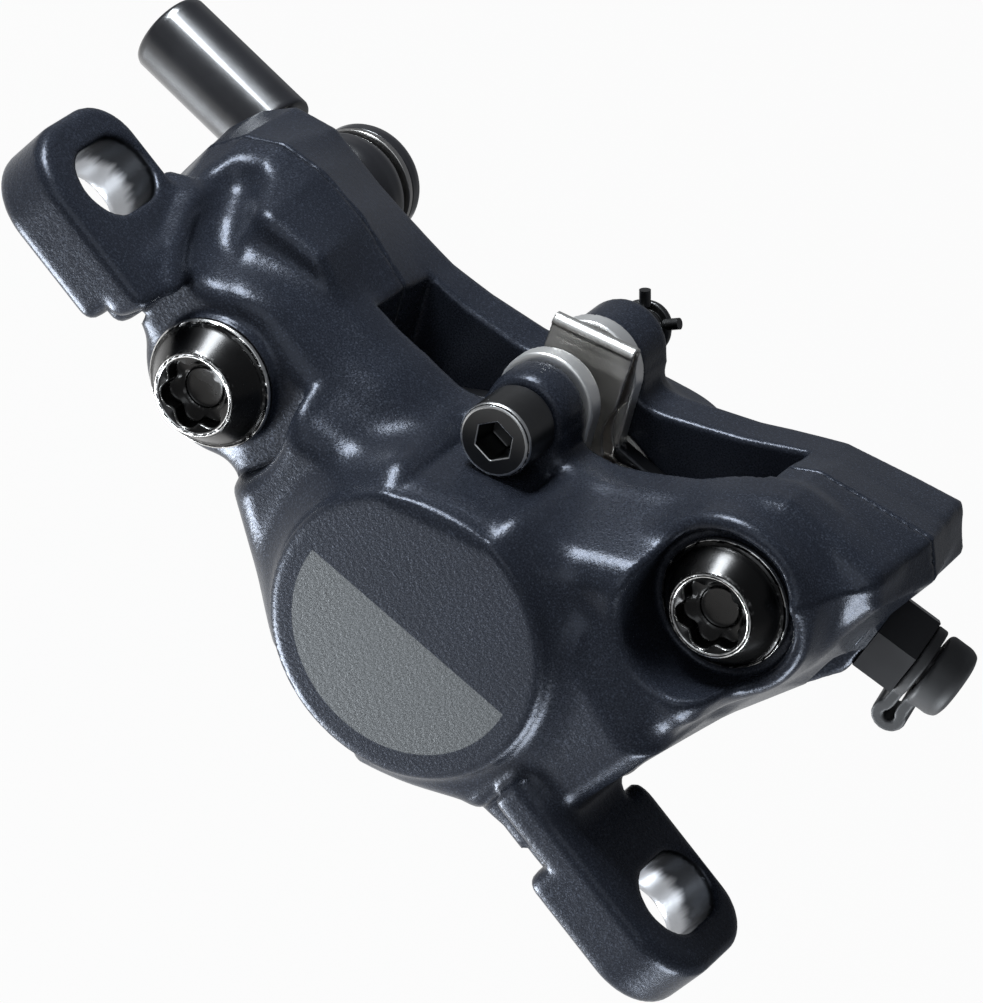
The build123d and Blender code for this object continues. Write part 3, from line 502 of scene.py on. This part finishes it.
class Value:
    # A node's output that takes part in sums: each operator adds a Math node.
    def __init__(self, made, socket):
        self.made, self.socket = made, socket

    def other(self, name):
        return Value(self.made, self.socket.node.outputs[name])

    def math(self, kind, first, second):
        return self.made.add("ShaderNodeMath", {"operation": kind}, [first, second])

    def __add__(self, other):
        return self.math("ADD", self, other)

    def __radd__(self, other):
        return self.math("ADD", other, self)

    def __sub__(self, other):
        return self.math("SUBTRACT", self, other)

    def __rsub__(self, other):
        return self.math("SUBTRACT", other, self)

    def __mul__(self, other):
        return self.math("MULTIPLY", self, other)

    def __rmul__(self, other):
        return self.math("MULTIPLY", other, self)


class Nodes:
    # The nodes of one tree. add() makes a node, sets its settings and then its sockets' values or links.
    def __init__(self, owner):
        owner.use_nodes = True
        self.tree = owner.node_tree
        self.tree.nodes.clear()

    def add(self, kind, settings=None, sockets=(), output=0):
        node = self.tree.nodes.new(kind)
        for key, value in (settings or {}).items():
            setattr(node, key, value)
        for key, value in sockets.items() if isinstance(sockets, dict) else enumerate(sockets):
            self.feed(node.inputs[key], value)
        return Value(self, node.outputs[output]) if node.outputs else node

    def feed(self, socket, value):
        if isinstance(value, Value):
            self.tree.links.new(value.socket, socket)
        else:
            socket.default_value = value

    def ramp(self, value, low, high, start=0.0, end=1.0):
        # From start to end while the value goes from low to high, with soft ends.
        settings = {"interpolation_type": "SMOOTHSTEP"}
        return self.add("ShaderNodeMapRange", settings, [value, low, high, start, end])


class Finish(Nodes):
    # One material with the standard shader.
    def __init__(self, name):
        self.material = bpy.data.materials.new(name)
        super().__init__(self.material)
        self.shader = self.tree.nodes.new("ShaderNodeBsdfPrincipled")
        self.add("ShaderNodeOutputMaterial", None, [Value(self, self.shader.outputs[0])])
        self.place = self.add("ShaderNodeTexCoord", None, (), "Object")

    def noise(self, scale, detail=2.0, place=None):
        sockets = {"Vector": place or self.place, "Scale": scale, "Detail": detail}
        return self.add("ShaderNodeTexNoise", None, sockets)

    def attribute(self, name):
        return self.add("ShaderNodeAttribute", {"attribute_name": name}, (), "Fac")

    def mix(self, share, first, second):
        # A colour between two, each a link or three numbers.
        first, second = ((*c, 1) if isinstance(c, tuple) else c for c in (first, second))
        return self.add("ShaderNodeMix", {"data_type": "RGBA"}, {0: share, 6: first, 7: second}, 2)

    def bump(self, height, distance):
        return self.add("ShaderNodeBump", None, {"Height": height, "Distance": distance, "Strength": 1.0})

    def set(self, **sockets):
        for key, value in sockets.items():
            self.feed(self.shader.inputs[key.replace("_", " ")], value)
        return self.material


# Colour and roughness of each plain finish, and what sets it apart from clean metal. The last colour, where
# given, is that of rubbed edges and bare metal, and on the spring sheet it is a painted highlight on the
# fold.
finishes = {
    "black nickel": {"colour": (0.05, 0.049, 0.048), "rough": 0.27, "rubAndSheenColour": (0.75, 0.74, 0.72)},
    "dark steel": {"colour": (0.10, 0.10, 0.10), "rough": 0.34, "rubAndSheenColour": (0.7, 0.7, 0.69)},
    "stainless sheet": {"colour": (0.62, 0.60, 0.57), "rough": 0.3},
    "gloss black": {"colour": (0.012, 0.012, 0.014), "rough": 0.31, "metallic": 0.0, "coat": 0.6},
    "satin black": {"colour": (0.04, 0.04, 0.042), "rough": 0.38, "metallic": 0.4},
    "pad plate": {"colour": (0.035, 0.036, 0.04), "rough": 0.36, "metallic": 0.85,
                  "rubAndSheenColour": (0.78, 0.77, 0.75)},
    # The spring sheet's second colour is a painted highlight on its fold.
    "spring sheet": {"colour": (0.6, 0.58, 0.55), "rough": 0.36, "rubAndSheenColour": (0.7, 0.69, 0.66)},
    "ceramic": {"colour": (0.72, 0.70, 0.64), "rough": 0.3, "metallic": 0.0},
    "cap rubber": {"colour": (0.04, 0.04, 0.041), "rough": 0.5, "metallic": 0.0},
    "seal rubber": {"colour": (0.02, 0.02, 0.02), "rough": 0.6, "metallic": 0.0},
    "friction block": {"colour": (0.16, 0.13, 0.11), "rough": 0.8, "grain": 0.003, "metallic": 0.2},
}


def plainFinish(name, colour, rough, grain=0.0006, metallic=1.0, coat=0.0, rubAndSheenColour=None):
    # Slightly uneven sheen and a fine surface grain, lighter on marked places if a second colour is given:
    # rubbed edges, and on the spring a painted highlight on its fold.
    s = Finish(name)
    wide = s.noise(150)
    fine = s.noise(900, 3)
    tone = s.mix(s.ramp(wide, 0.3, 0.7), tuple(c * 0.78 for c in colour), colour)
    if rubAndSheenColour:
        sheenAndRub = s.ramp(s.attribute("rub_and_sheen") + s.noise(2200, 2) * 0.9 - 0.45, 0.35, 0.75)
        tone = s.mix(sheenAndRub, tone, rubAndSheenColour)
    return s.set(Base_Color=tone, Roughness=s.ramp(wide + fine * 0.5, 0.4, 1.1, rough * 0.85, rough * 1.15),
                 Metallic=metallic, Coat_Weight=coat, Coat_Roughness=0.08, Normal=s.bump(fine, grain * 0.02))


paintLook = {
    "deep": (0.021, 0.0245, 0.034),
    "flake": (0.06, 0.07, 0.095),
    "shade": (0.017, 0.0195, 0.027),
    "rough": (0.25, 0.36),
    "print": ((0.052, 0.0545, 0.056), (0.15, 0.156, 0.159)),
    "printR": (10.18, 10.28),
    "printY": (-7.7, -7.6),
    "printChord": (0.58, 0.68),
    "chordNormal": (-0.235, 0.972),
    # The two wall colours and the z span below paint a reflection on the bare slot wall: dark above, light
    # below.
    "wall": ((0.03, 0.032, 0.036), (0.42, 0.43, 0.45)),
    "wallRough": 0.3,
    "wallReflectionZ": (3.5, 1.9),  # z at which the slot's wall starts to be bright, and where it is
    "skin": 0.000028,
}


def paintFinish():
    # Dark blue-grey satin paint: fine flake, a pebbled skin, bare slot walls with a painted reflection (dark
    # above, light below) and a printed segment.
    look = paintLook
    s = Finish("body paint")
    flake = s.noise(7000, 1)
    grain = s.noise(2600, 2)
    wide = s.noise(120, 2)
    bare = s.attribute("bare")
    x = s.add("ShaderNodeSeparateXYZ", None, [s.place])
    y, z = x.other(1) * 1000, x.other(2) * 1000 - pistonZ
    x = x * 1000 - pistonX
    along, up = x * cosT + z * sinT, z * cosT - x * sinT
    radius = s.add("ShaderNodeMath", {"operation": "SQRT"}, [along * along + up * up])
    chordX, chordZ = look["chordNormal"]
    printed = s.ramp(radius, *look["printR"], 1, 0) * s.ramp(y, *look["printY"], 1, 0)
    printed = s.attribute("face") * printed * s.ramp(z * chordZ + x * chordX, *look["printChord"], 1, 0)
    colour = s.mix(s.ramp(flake, 0.52, 0.78), look["deep"], look["flake"])
    colour = s.mix(s.ramp(wide, 0.3, 0.7) * 0.35, colour, look["shade"])
    colour = s.mix(printed, colour, s.mix(s.ramp(s.noise(9000, 1), 0.3, 0.72), *look["print"]))
    # Tool marks run round the slot and break up the border of a painted reflection: the lower part of the
    # wall is painted light and the upper part dark.
    tooled = s.noise(1.0, 3.0, s.add("ShaderNodeCombineXYZ", None, [x * 0.9, y * 0.9, z * 0.16]))
    sheenAndRub = s.ramp(z + pistonZ + tooled * 2.6 - 1.3, *look["wallReflectionZ"])
    colour = s.mix(bare, colour, s.mix(sheenAndRub, *look["wall"]))
    rough = s.ramp(flake, 0.3, 0.7, *look["rough"]) + printed * 0.08
    metallic = 0.4 - printed * 0.1
    height = (grain + flake * 0.35) * (1 - bare * 0.7) + s.noise(1500, 1) * 0.1
    return s.set(Base_Color=colour, Roughness=blend(rough, look["wallRough"], bare),
                 Metallic=blend(metallic, 1.0, bare), Specular_IOR_Level=0.3,
                 Normal=s.bump(height, look["skin"]))


paint = paintFinish()
made = {name: plainFinish(name, **values) for name, values in finishes.items()}
nodeFinishes = {
    "body paint": ("outer_half", "inner_half"),
    "black nickel": ("left_body_bolt", "right_body_bolt"),
    "dark steel": ("pad_axle", "axle_clip"),
    "gloss black": ("banjo_bolt", "banjo_fitting", "hose_sleeve"),
    "stainless sheet": ("banjo_washer_inner", "banjo_washer_outer", "outer_pad_plate", "inner_pad_plate",
                        "pad_spring"),
    "satin black": ("bleed_nipple",),
    "cap rubber": ("bleed_cap",),
    "ceramic": ("outer_piston", "inner_piston"),
    "seal rubber": ("outer_piston_seal", "inner_piston_seal", "crossover_oring"),
    "friction block": ("outer_pad_lining", "inner_pad_lining"),
}
for finish, names in nodeFinishes.items():
    for name in names:
        nodes[name].data.materials.clear()
        nodes[name].data.materials.append(made.get(finish, paint))
print("finishes made")

shellStep = 0.42
for name, form, part in (("outer_half", outerForm, outerHalf), ("inner_half", innerForm, innerHalf)):
    verts, faces = surface(form, *part["box"], shellStep)
    shell = makeMesh(name + "_shell", verts, faces)
    x, y, z = verts.T
    outer = name == "outer_half"
    nearWall = np.clip(1 - (np.abs(slotWall(x, y)) - 0.12) / 0.12, 0, 1)
    mark(shell, "bare", nearWall * (z < 5.9) * outer)
    mark(shell, "face", np.full(len(verts), float(outer)))
    dress(shell, name, "caliper", paint)
    print(name, "shell made,", len(verts), "points")

# Turned pieces. A profile's points are (radius, distance along), and may go on with a kind, the wear of the
# edge there and the size of its chamfer. Kind 1 is a round with six lobes, kind 2 a hexagon.
sides = 96
chamfer = 0.12


def kindRadius(r, angle, kind):
    # Radius at an angle. A hexagon's flats are r from the axis.
    if kind == 1:
        return r * (1 - 0.11 * np.cos(6 * angle) - 0.02 * np.cos(12 * angle)) * 0.93
    if kind == 2:
        return r / np.cos((angle + math.pi / 6) % (math.pi / 3) - math.pi / 6)
    return r + 0 * angle


def turned(profile, origin, axis, spin):
    # Each point of a profile becomes a ring about the axis, and quads join ring to ring.
    axis = np.array(axis, float) / np.linalg.norm(axis)
    side = np.cross(axis, [0.1, 1, 0.2] if abs(axis[1]) < 0.9 else [1, 0, 0.3])
    side /= np.linalg.norm(side)
    third = np.cross(axis, side)
    angle = np.arange(sides) * 2 * math.pi / sides
    rings = []
    for r, h, kind, _ in profile:
        radius = kindRadius(max(r, 1e-4), angle + spin, kind)
        ring = radius[:, None] * (np.cos(angle)[:, None] * side + np.sin(angle)[:, None] * third) + axis * h
        rings.append(np.array(origin) + ring)
    j = np.arange(sides)
    k = (j + 1) % sides
    starts = np.arange(len(profile) - 1)[:, None] * sides
    quads = np.stack([starts + j, starts + k, starts + sides + k, starts + sides + j], 2).reshape(-1, 4)
    return np.concatenate(rings), quads, np.repeat([rub_and_sheen for _, _, _, rub_and_sheen in profile], sides)


def edge(at, before, after, size, kind, rub_and_sheen):
    # A corner of a profile, drawn as a short chamfer with a ring close to each end of it.
    at = np.array(at)
    back, ahead = np.array(before) - at, np.array(after) - at
    back, ahead = back / np.linalg.norm(back), ahead / np.linalg.norm(ahead)
    steps = [at + back * size * 2.2, at + back * size, at + (back + ahead) * size * 0.3, at + ahead * size,
             at + ahead * size * 2.2]
    return [(max(r, 0), h, kind, rub_and_sheen if 0 < i < 4 else 0) for i, (r, h) in enumerate(steps)]


def softProfile(points):
    # Every inner corner gets its chamfer.
    full = [tuple(p) + (0, 0, chamfer)[len(p) - 2:] for p in points]
    soft = [full[0][:4]]
    for before, (r, h, kind, rub_and_sheen, size), after in zip(full, full[1:], full[2:]):
        soft += edge((r, h), before[:2], after[:2], size, kind, rub_and_sheen)
    return soft + [full[-1][:4]]


def fixNormals(obj):
    # Doubles are merged, and the faces of the closed shell are turned outwards.
    work = bmesh.new()
    work.from_mesh(obj.data)
    bmesh.ops.remove_doubles(work, verts=work.verts, dist=1e-6)
    bmesh.ops.recalc_face_normals(work, faces=work.faces)
    work.to_mesh(obj.data)
    work.free()
    obj.data.polygons.foreach_set("use_smooth", np.ones(len(obj.data.polygons), bool))


def addTurned(node, body, profile, origin, axis, finish, spin=0.0):
    verts, quads, rub_and_sheen = turned(softProfile(profile), origin, axis, spin)
    obj = makeMesh(node + "_turned", verts, quads)
    mark(obj, "rub_and_sheen", rub_and_sheen)
    fixNormals(obj)
    dress(obj, node, body, made[finish])


def addForm(name, node, body, form, low, high, step, finish, tone=None):
    # A piece made from a distance form in a box. tone gives its wear at a place, and on the spring the
    # painted highlight of its fold.
    verts, faces = surface(form, low, high, step * (1))
    obj = makeMesh(name, verts, faces)
    if tone:
        mark(obj, "rub_and_sheen", tone(*verts.T))
    dress(obj, node, body, made[finish])
    return obj


bodyBolt = {
    "tip": -8.6,
    "r": 3.0,
    "tipChamfer": 0.5,
    "flangeR": 5.6,
    "flange": 0.55,
    "coneR": 5.0,
    "headHeight": 3.3,
    "rimR": 3.6,
    "socketR": 3.12,
    "socketDepth": 1.6,
    "pinR": 1.6,
    "spin": 0.35,
}


def boltProfile(seat):
    # A shank, a flange and a cone that rises to a thin rim round a six-lobed socket.
    b = bodyBolt
    top = seat + b["headHeight"]
    shoulder = seat + b["flange"]
    return [(0, b["tip"]), (b["r"] - b["tipChamfer"], b["tip"]), (b["r"], b["tip"] + b["tipChamfer"]),
            (b["r"], seat), (b["flangeR"], seat, 0, 0.5, 0.1), (b["flangeR"], shoulder, 0, 0.9, 0.12),
            (b["coneR"] + 0.2, shoulder + 0.25, 0, 0.3, 0.1), (b["coneR"], shoulder + 0.45, 0, 0, 0.1),
            (b["rimR"] + 0.15, top - 0.25, 0, 0.35, 0.12), (b["rimR"], top, 0, 0.75, 0.08),
            (b["rimR"] - 0.3, top, 0, 0.7, 0.06), (b["socketR"], top - 0.25, 1, 0.7, 0.08),
            (b["socketR"] - 0.12, top - b["socketDepth"], 1, 0.25),
            (b["pinR"] + 0.3, top - b["socketDepth"] - 0.3, 0, 0.3),
            (b["pinR"], top - b["socketDepth"] - 0.55), (0, top - b["socketDepth"] - 0.6)]


for name, spot, seat in (("left_body_bolt", leftBolt, leftSeat), ("right_body_bolt", rightBolt, rightSeat)):
    addTurned(name, "caliper", boltProfile(seat), toRow(*spot, discY), front, "black nickel",
              bodyBolt["spin"])

padAxle = {
    "tip": -15.4,
    "r": 2.0,
    "tipChamfer": 0.3,
    "groove": (-14.5, -13.3),
    "grooveR": 1.35,
    "headR": 3.2,
    "headStart": 9.4,
    "top": 14.0,
    "hexR": 1.52,
    "hexDepth": 3.0,
    "spin": 0.2,
}
p = padAxle
axleProfile = [(0, p["tip"]), (p["r"] - p["tipChamfer"], p["tip"]), (p["r"], p["tip"] + 0.35),
               (p["r"], p["groove"][0]), (p["grooveR"], p["groove"][0] + 0.05, 0, 0, 0.05),
               (p["grooveR"], p["groove"][1] - 0.05, 0, 0, 0.05), (p["r"], p["groove"][1]),
               (p["r"], p["headStart"]), (p["headR"], p["headStart"], 0, 0, 0.1),
               (p["headR"], p["top"] - 0.3, 0, 0.9, 0.1), (p["headR"] - 0.25, p["top"], 0, 1.0, 0.08),
               (p["hexR"], p["top"], 2, 0.8, 0.07), (p["hexR"] - 0.04, p["top"] - p["hexDepth"], 2),
               (0, p["top"] - p["hexDepth"] - 0.2)]
addTurned("pad_axle", "axle", axleProfile, toRow(*axle, discY), front, "dark steel", p["spin"])
print("bolts and pad axle made")

hoseEnd = {
    "droop": 17,  # degrees
    "lean": 11,
    "eyeDepth": 15.1,
    "coreR": 3.1,
    "coreHalf": 0.4,
    "rimR": 2.4,
    "holeR": 3.06,
    "stemMiddle": 5.6,
    "stemHalf": 2.55,
    "stemR": (1.6, 2.8),
    "coneStart": 4.4,
    "coneSlope": 0.35,
    "sleeve": (8.2, 22.2),
    "sleeveR": 3.75,
    "mouthR": 2.5,
    "mouthDepth": 8.0,
    "washerR": 5.1,
    "washer": 0.6,
    "washerStarts": (("banjo_washer_inner", 11.7), ("banjo_washer_outer", 17.9)),
    "boltStart": 5.3,
    "boltR": 3.0,
    "boltHead": (18.5, 20.1),
    "boltHexR": 2.0,
    "boltHexEnd": 17.9,
}
droop, lean = math.radians(hoseEnd["droop"]), math.radians(hoseEnd["lean"])
hose = np.array([-math.cos(droop) * math.cos(lean), math.sin(lean), -math.sin(droop) * math.cos(lean)])
eye = toRow(*banjo, discY + hoseEnd["eyeDepth"])


def fittingForm(x, y, z):
    # A disc with a very round rim, joined to a short cone along the hose.
    part = hoseEnd
    r = np.hypot(x - eye[0], z - eye[2])
    q, t = r - part["coreR"], abs(y - eye[1]) - part["coreHalf"]
    ball = np.hypot(np.maximum(q, 0), np.maximum(t, 0)) + np.minimum(np.maximum(q, t), 0) - part["rimR"]
    along, aside = aboutAxis(x, y, z, eye, hose)
    narrow, broad = part["stemR"]
    cone = np.clip(narrow + (along - part["coneStart"]) * part["coneSlope"], narrow, broad)
    stem = both(aside - cone, abs(along - part["stemMiddle"]) - part["stemHalf"])
    return cut(join(ball, stem, 0.8), r - part["holeR"])


addForm("banjo_fitting_round", "banjo_fitting", "hose_end", fittingForm, eye - (9.4, 3.4, 6.4),
        eye + (6.2, 4.6, 6.2), 0.2, "gloss black")
p = hoseEnd
start, end = p["sleeve"]
sleeveProfile = [(0, start), (p["sleeveR"], start, 0, 0, 0.25), (p["sleeveR"], end, 0, 0, 0.4),
                 (p["mouthR"], end), (p["mouthR"], end - p["mouthDepth"]), (0, end - p["mouthDepth"])]
addTurned("hose_sleeve", "hose_end", sleeveProfile, eye, hose, "gloss black")
for name, start in p["washerStarts"]:
    end = start + p["washer"]
    ringProfile = [(p["holeR"], start), (p["washerR"], start, 0, 0.8, 0.1), (p["washerR"], end, 0, 0.8, 0.1),
                   (p["holeR"], end), (p["holeR"], start)]
    addTurned(name, "caliper", ringProfile, toRow(*banjo, discY), behind, "stainless sheet")
start, end = p["boltHead"]
boltStart, boltR = p["boltStart"], p["boltR"]
banjoProfile = [(0, boltStart), (boltR - 0.4, boltStart), (boltR, boltStart + 0.5), (boltR, start),
                (p["washerR"], start, 0, 0, 0.1), (p["washerR"], end, 0, 0, 0.45), (p["boltHexR"], end, 2),
                (p["boltHexR"], p["boltHexEnd"], 2), (0, p["boltHexEnd"])]
addTurned("banjo_bolt", "caliper", banjoProfile, toRow(*banjo, discY), behind, "gloss black")
print("hose fitting made")

padPlate = {
    "rim": 7.5,  # up of the top edge beside the tab
    "low": -9.5,
    "half": 14.5,
    "corner": 2.5,
    "tabR": 4.3,
    "holeR": 2.12,
    "middle": 4.0,  # from the disc's mid-plane
    "thick": 1.8,
    "soft": 0.16,
    "bareFrom": 9.5,
}


def padPlateForm(side):
    # The sheet's outline with its round tab, and a soft edge all round.
    p = padPlate
    rim, low, half, corner, tab = p["rim"], p["low"], p["half"], p["corner"], p["tabR"]
    rightEdge = [(half - corner, low), (half, low + corner), (half, rim - corner), (half - corner, rim),
                 (tab, rim + corner), (tab, axle[1])]
    whole = rightEdge + [(-a, u) for a, u in reversed(rightEdge)]

    def form(x, y, z):
        a, u = toBody(x, z)
        flat = np.minimum(outline(a, u, whole), circle(a, u, *axle, tab))
        sheet = blockEdge(flat, abs(side * (y - discY) - p["middle"]) - p["thick"] / 2, p["soft"])
        return cut(sheet, circle(a, u, *axle, p["holeR"]))

    return form


def padTone(x, y, z):
    # The tab above the pocket is bare and bright.
    return np.clip(toBody(x, z)[1] - padPlate["bareFrom"], 0, 1)


for name, side in (("outer_pad", -1), ("inner_pad", 1)):
    middle = discY + side * padPlate["middle"]
    addForm(name + "_plate_soft", name + "_plate", name, padPlateForm(side), (-12, middle - 1.3, -12),
            (26, middle + 1.3, 27), 0.2, "pad plate", padTone)

# The spring's leg is given by its gap from the disc's mid-plane and its height from the axle.
padSpring = {
    "leg": [(0.5, 4.7), (0.62, 3.8), (0.85, 2.8), (1.05, 0.5), (0.98, -2.0), (1.0, -4.0), (1.3, -5.2),
            (1.9, -5.9), (2.65, -6.4), (2.65, -8.1)],
    "foldR": 0.65,
    "halfThick": 0.15,
    "middle": 1.0,
    "half": 3.8,
    "armHalf": 6.4,
    "armsBelow": -6.4,
    "waistR": 4.0,
    "waistAway": 7.2,
    "waistUp": -2.1,
    "holeR": 2.5,
    # Height above the axle from which the fold's painted highlight begins.
    "highlightFrom": 4.6,
    "flattened": 0.64,
}


def springForm(x, y, z):
    # A folded sheet: two bowed legs from a tight fold, waisted, holed for the axle, with arms at the foot.
    p = padSpring
    a, u = toBody(x, z)
    u = u - axle[1]
    gap = abs(y - discY)
    foldUp = p["leg"][0][1]
    sheet = np.maximum(abs(np.hypot(gap, u - foldUp) - p["foldR"]) - p["halfThick"], foldUp - u)
    sheet = np.minimum(sheet, rod(gap, u, 0 * gap, [(g, h, 0) for g, h in p["leg"]], p["halfThick"]))
    wide = abs(a - p["middle"]) - np.where(u > p["armsBelow"], p["half"], p["armHalf"])
    waist = np.hypot(abs(a - p["middle"]) - p["waistAway"], u - p["waistUp"]) - p["waistR"]
    hole = np.hypot(a, u) - p["holeR"]
    return np.maximum(np.maximum(sheet, wide), np.maximum(-waist, -hole))


def springTone(x, y, z):
    # The fold is painted lighter towards its top, a painted highlight.
    return np.clip((toBody(x, z)[1] - axle[1] - padSpring["highlightFrom"]) * 1.5, 0, 1)


spring = addForm("pad_spring_bent", "pad_spring", "caliper", springForm, (-8, discY - 3.2, 8),
                 (14, discY + 3.2, 31), 0.15, "spring sheet", springTone)
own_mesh(spring)
print("pad plates and spring made")

# The cap's forms are in h along the nipple, t down and s across it.
bleedCap = {
    "rise": 12.6,  # degrees
    "lean": 9.0,
    "domeR": 3.3,
    "dome": (6.75, 1.55),  # middle and half length
    "bluntNormal": (0.62, 0.78),
    "blunt": 8.15,
    "holeR": 2.28,
    "domeHole": (6.2, 1.08),
    "ringHole": (4.8, 2.2),
    "ringR": 3.25,
    "ring": (4.4, 0.5),
    "strapR": 0.52,
    "strapHalf": 1.75,
    "loopAt": (5.06, 5.2),
    "loopR": 1.02,
    "legsAt": (5.72, 4.4),
    "legs": (2.9, 4.0),
}
rise, lean = math.radians(bleedCap["rise"]), math.radians(bleedCap["lean"])
bleed = np.array([math.cos(rise) * math.cos(lean), math.sin(lean), math.sin(rise) * math.cos(lean)])
across = np.cross(bleed, [0, 0, -1])
across /= np.linalg.norm(across)
downwards = np.cross(bleed, across)
downwards *= -1 if downwards[2] > 0 else 1
bleedSeat = toRow(*layout["nipple"], discY + layout["nippleDepth"])
legStart, legEnd = bleedCap["legs"]
nearLeg, farLeg = bleedCap["legsAt"]
loopH, loopT = bleedCap["loopAt"]
loopR = bleedCap["loopR"]
turns = np.linspace(-0.75, math.pi + 0.75, 13)
strapPath = [(nearLeg, legStart, 0), (nearLeg, legEnd, 0)]
strapPath += [(loopH + loopR * math.cos(t), loopT + loopR * math.sin(t), 0) for t in turns]
strapPath += [(farLeg, legEnd, 0), (farLeg, legStart, 0)]


def capForm(x, y, z):
    # A blunt round cap and a loose ring behind it, joined by a strap bent into a loop.
    p = bleedCap
    wx, wy, wz = x - bleedSeat[0], y - bleedSeat[1], z - bleedSeat[2]
    h, s, t = (wx * v[0] + wy * v[1] + wz * v[2] for v in (bleed, across, downwards))
    r = np.hypot(s, t)
    domeAt, domeHalf = p["dome"]
    dome = blockEdge(r - p["domeR"], abs(h - domeAt) - domeHalf, 0.5)
    bluntR, bluntH = p["bluntNormal"]
    dome = blockEdge(dome, r * bluntR + h * bluntH - p["blunt"], 0.6)
    holeAt, holeHalf = p["domeHole"]
    dome = cut(dome, np.maximum(r - p["holeR"], abs(h - holeAt) - holeHalf))
    ringAt, ringHalf = p["ring"]
    ring = blockEdge(r - p["ringR"], abs(h - ringAt) - ringHalf, 0.2)
    strap = blockEdge(rod(h, t, 0 * h, strapPath, p["strapR"]), abs(s) - p["strapHalf"], 0.18)
    holeAt, holeHalf = p["ringHole"]
    hole = np.maximum(r - p["holeR"], abs(h - holeAt) - holeHalf)
    return cut(join(np.minimum(dome, ring), strap, 0.15), hole)


addForm("bleed_cap_round", "bleed_cap", "cap", capForm, bleedSeat + (1, -6, -8), bleedSeat + (12, 7, 7), 0.16,
        "cap rubber")
print("bleed cap made")

# The camera was solved from the photo. right, down and ahead are its directions in the frame.
view = {
    "right": (0.61641, 0.45379, 0.64352),
    "down": (0.78741, -0.35051, -0.50708),
    "ahead": (-0.00455, 0.81928, -0.57337),
    "place": (5.334, -464.133, 340.23),
    "lens": 252.41,
    "sensor": 36,
}
camera = bpy.data.cameras.new("camera")
camera.lens = view["lens"]
camera.sensor_width = view["sensor"]
camera.clip_start, camera.clip_end = 0.05, 5
cameraObj = bpy.data.objects.new("camera", camera)
bpy.context.scene.collection.objects.link(cameraObj)
turn = np.array([view["right"], [-v for v in view["down"]], [-v for v in view["ahead"]]]).T
cameraObj.matrix_world = (Matrix.Translation(Vector(view["place"]) / 1000)
                          @ Matrix([list(r) for r in turn]).to_4x4())
bpy.context.scene.camera = cameraObj

# Each light's place from the target in camera terms, right, up and towards it in mm, its power in W and its
# size in m.
studio = {
    "lamps": {
        "left": ((-283, -172, -72), 1.9, (0.09, 0.18)),
        "key": ((-80, 400, 150), 3.4, (0.22, 0.14)),
        "below": ((60, -290, 25), 0.9, (0.14, 0.1)),
        "fill": ((-60, 60, 450), 0.3, (0.3, 0.3)),
    },
    "target": (3, 8, 12),
    "lampColour": (0.88, 0.94, 1.0),
    "skyColour": (0.85, 0.9, 1, 1),
    "skyLight": 0.12,
    "skyRamp": (0.0, 0.45, 0.14, 0.02),
    "floorZ": -0.45,
    "floorHalf": 6,
    "floorColour": (0.8, 0.8, 0.8, 1),
    "floorRamp": (0.5, 1.25, 1.0, 0.08),
    "floorWhite": 0.96,
}


def addLamp(name, away, power, size):
    # A soft oblong light that looks at the target.
    target = np.array(studio["target"], float)
    spot = target + turn @ np.array(away, float)
    light = bpy.data.lights.new(name, "AREA")
    light.shape = "RECTANGLE"
    light.size, light.size_y = size
    light.energy = power
    light.color = studio["lampColour"]
    obj = bpy.data.objects.new(name, light)
    bpy.context.scene.collection.objects.link(obj)
    obj.location = Vector(spot / 1000)
    obj.rotation_mode = "QUATERNION"
    obj.rotation_quaternion = Vector((target - spot) / 1000).to_track_quat("-Z", "Y")


for name, values in studio["lamps"].items():
    addLamp(name, *values)


def whiteWhereSeen(s, dim, shaded, white, full):
    # The share of white is full for camera and transmission rays, dim for glossy rays and none for the rest.
    ray = s.add("ShaderNodeLightPath", None, (), "Is Camera Ray")
    clamped = {"use_clamp": True}
    seen = s.add("ShaderNodeMath", {"operation": "ADD", **clamped}, [ray, ray.other("Is Transmission Ray")])
    share = s.add("ShaderNodeMath", {"operation": "MULTIPLY_ADD", **clamped},
                  [ray.other("Is Glossy Ray"), dim, seen * full])
    return s.add("ShaderNodeMixShader", None, [share, shaded, white])


# Reflections see the white backdrop low down and a dim ceiling above it.
world = bpy.data.worlds.new("studio")
bpy.context.scene.world = world
sky = Nodes(world)
height = sky.add("ShaderNodeSeparateXYZ", None, [sky.add("ShaderNodeTexCoord", None, (), "Generated")], 2)
soft = sky.add("ShaderNodeBackground", None, [studio["skyColour"], studio["skyLight"]])
white = sky.add("ShaderNodeBackground", None, [(1, 1, 1, 1)])
dim = sky.ramp(height, *studio["skyRamp"])
sky.add("ShaderNodeOutputWorld", None, [whiteWhereSeen(sky, dim, soft, white, 1.0)])

# In reflections the floor is white under the object and falls away to grey.
half, floorZ = studio["floorHalf"], studio["floorZ"]
floorMesh = bpy.data.meshes.new("floor")
corners = [(-half, -half, floorZ), (half, -half, floorZ), (half, half, floorZ), (-half, half, floorZ)]
floorMesh.from_pydata(corners, [], [(0, 1, 2, 3)])
floor = bpy.data.objects.new("floor", floorMesh)
bpy.context.scene.collection.objects.link(floor)
pale = bpy.data.materials.new("pale floor")
ground = Nodes(pale)
place = ground.add("ShaderNodeTexCoord", None, (), "Object")
away = ground.add("ShaderNodeVectorMath", {"operation": "LENGTH"}, [place], "Value")
dim = ground.ramp(away, *studio["floorRamp"])
matte = ground.add("ShaderNodeBsdfDiffuse", None, [studio["floorColour"]])
white = ground.add("ShaderNodeEmission", None, [(1, 1, 1, 1)])
mixed = whiteWhereSeen(ground, dim, matte, white, studio["floorWhite"])
ground.add("ShaderNodeOutputMaterial", None, [mixed])
floorMesh.materials.append(pale)
bpy.context.scene.view_settings.view_transform = "Standard"
print("camera and light made")

print("scene made")
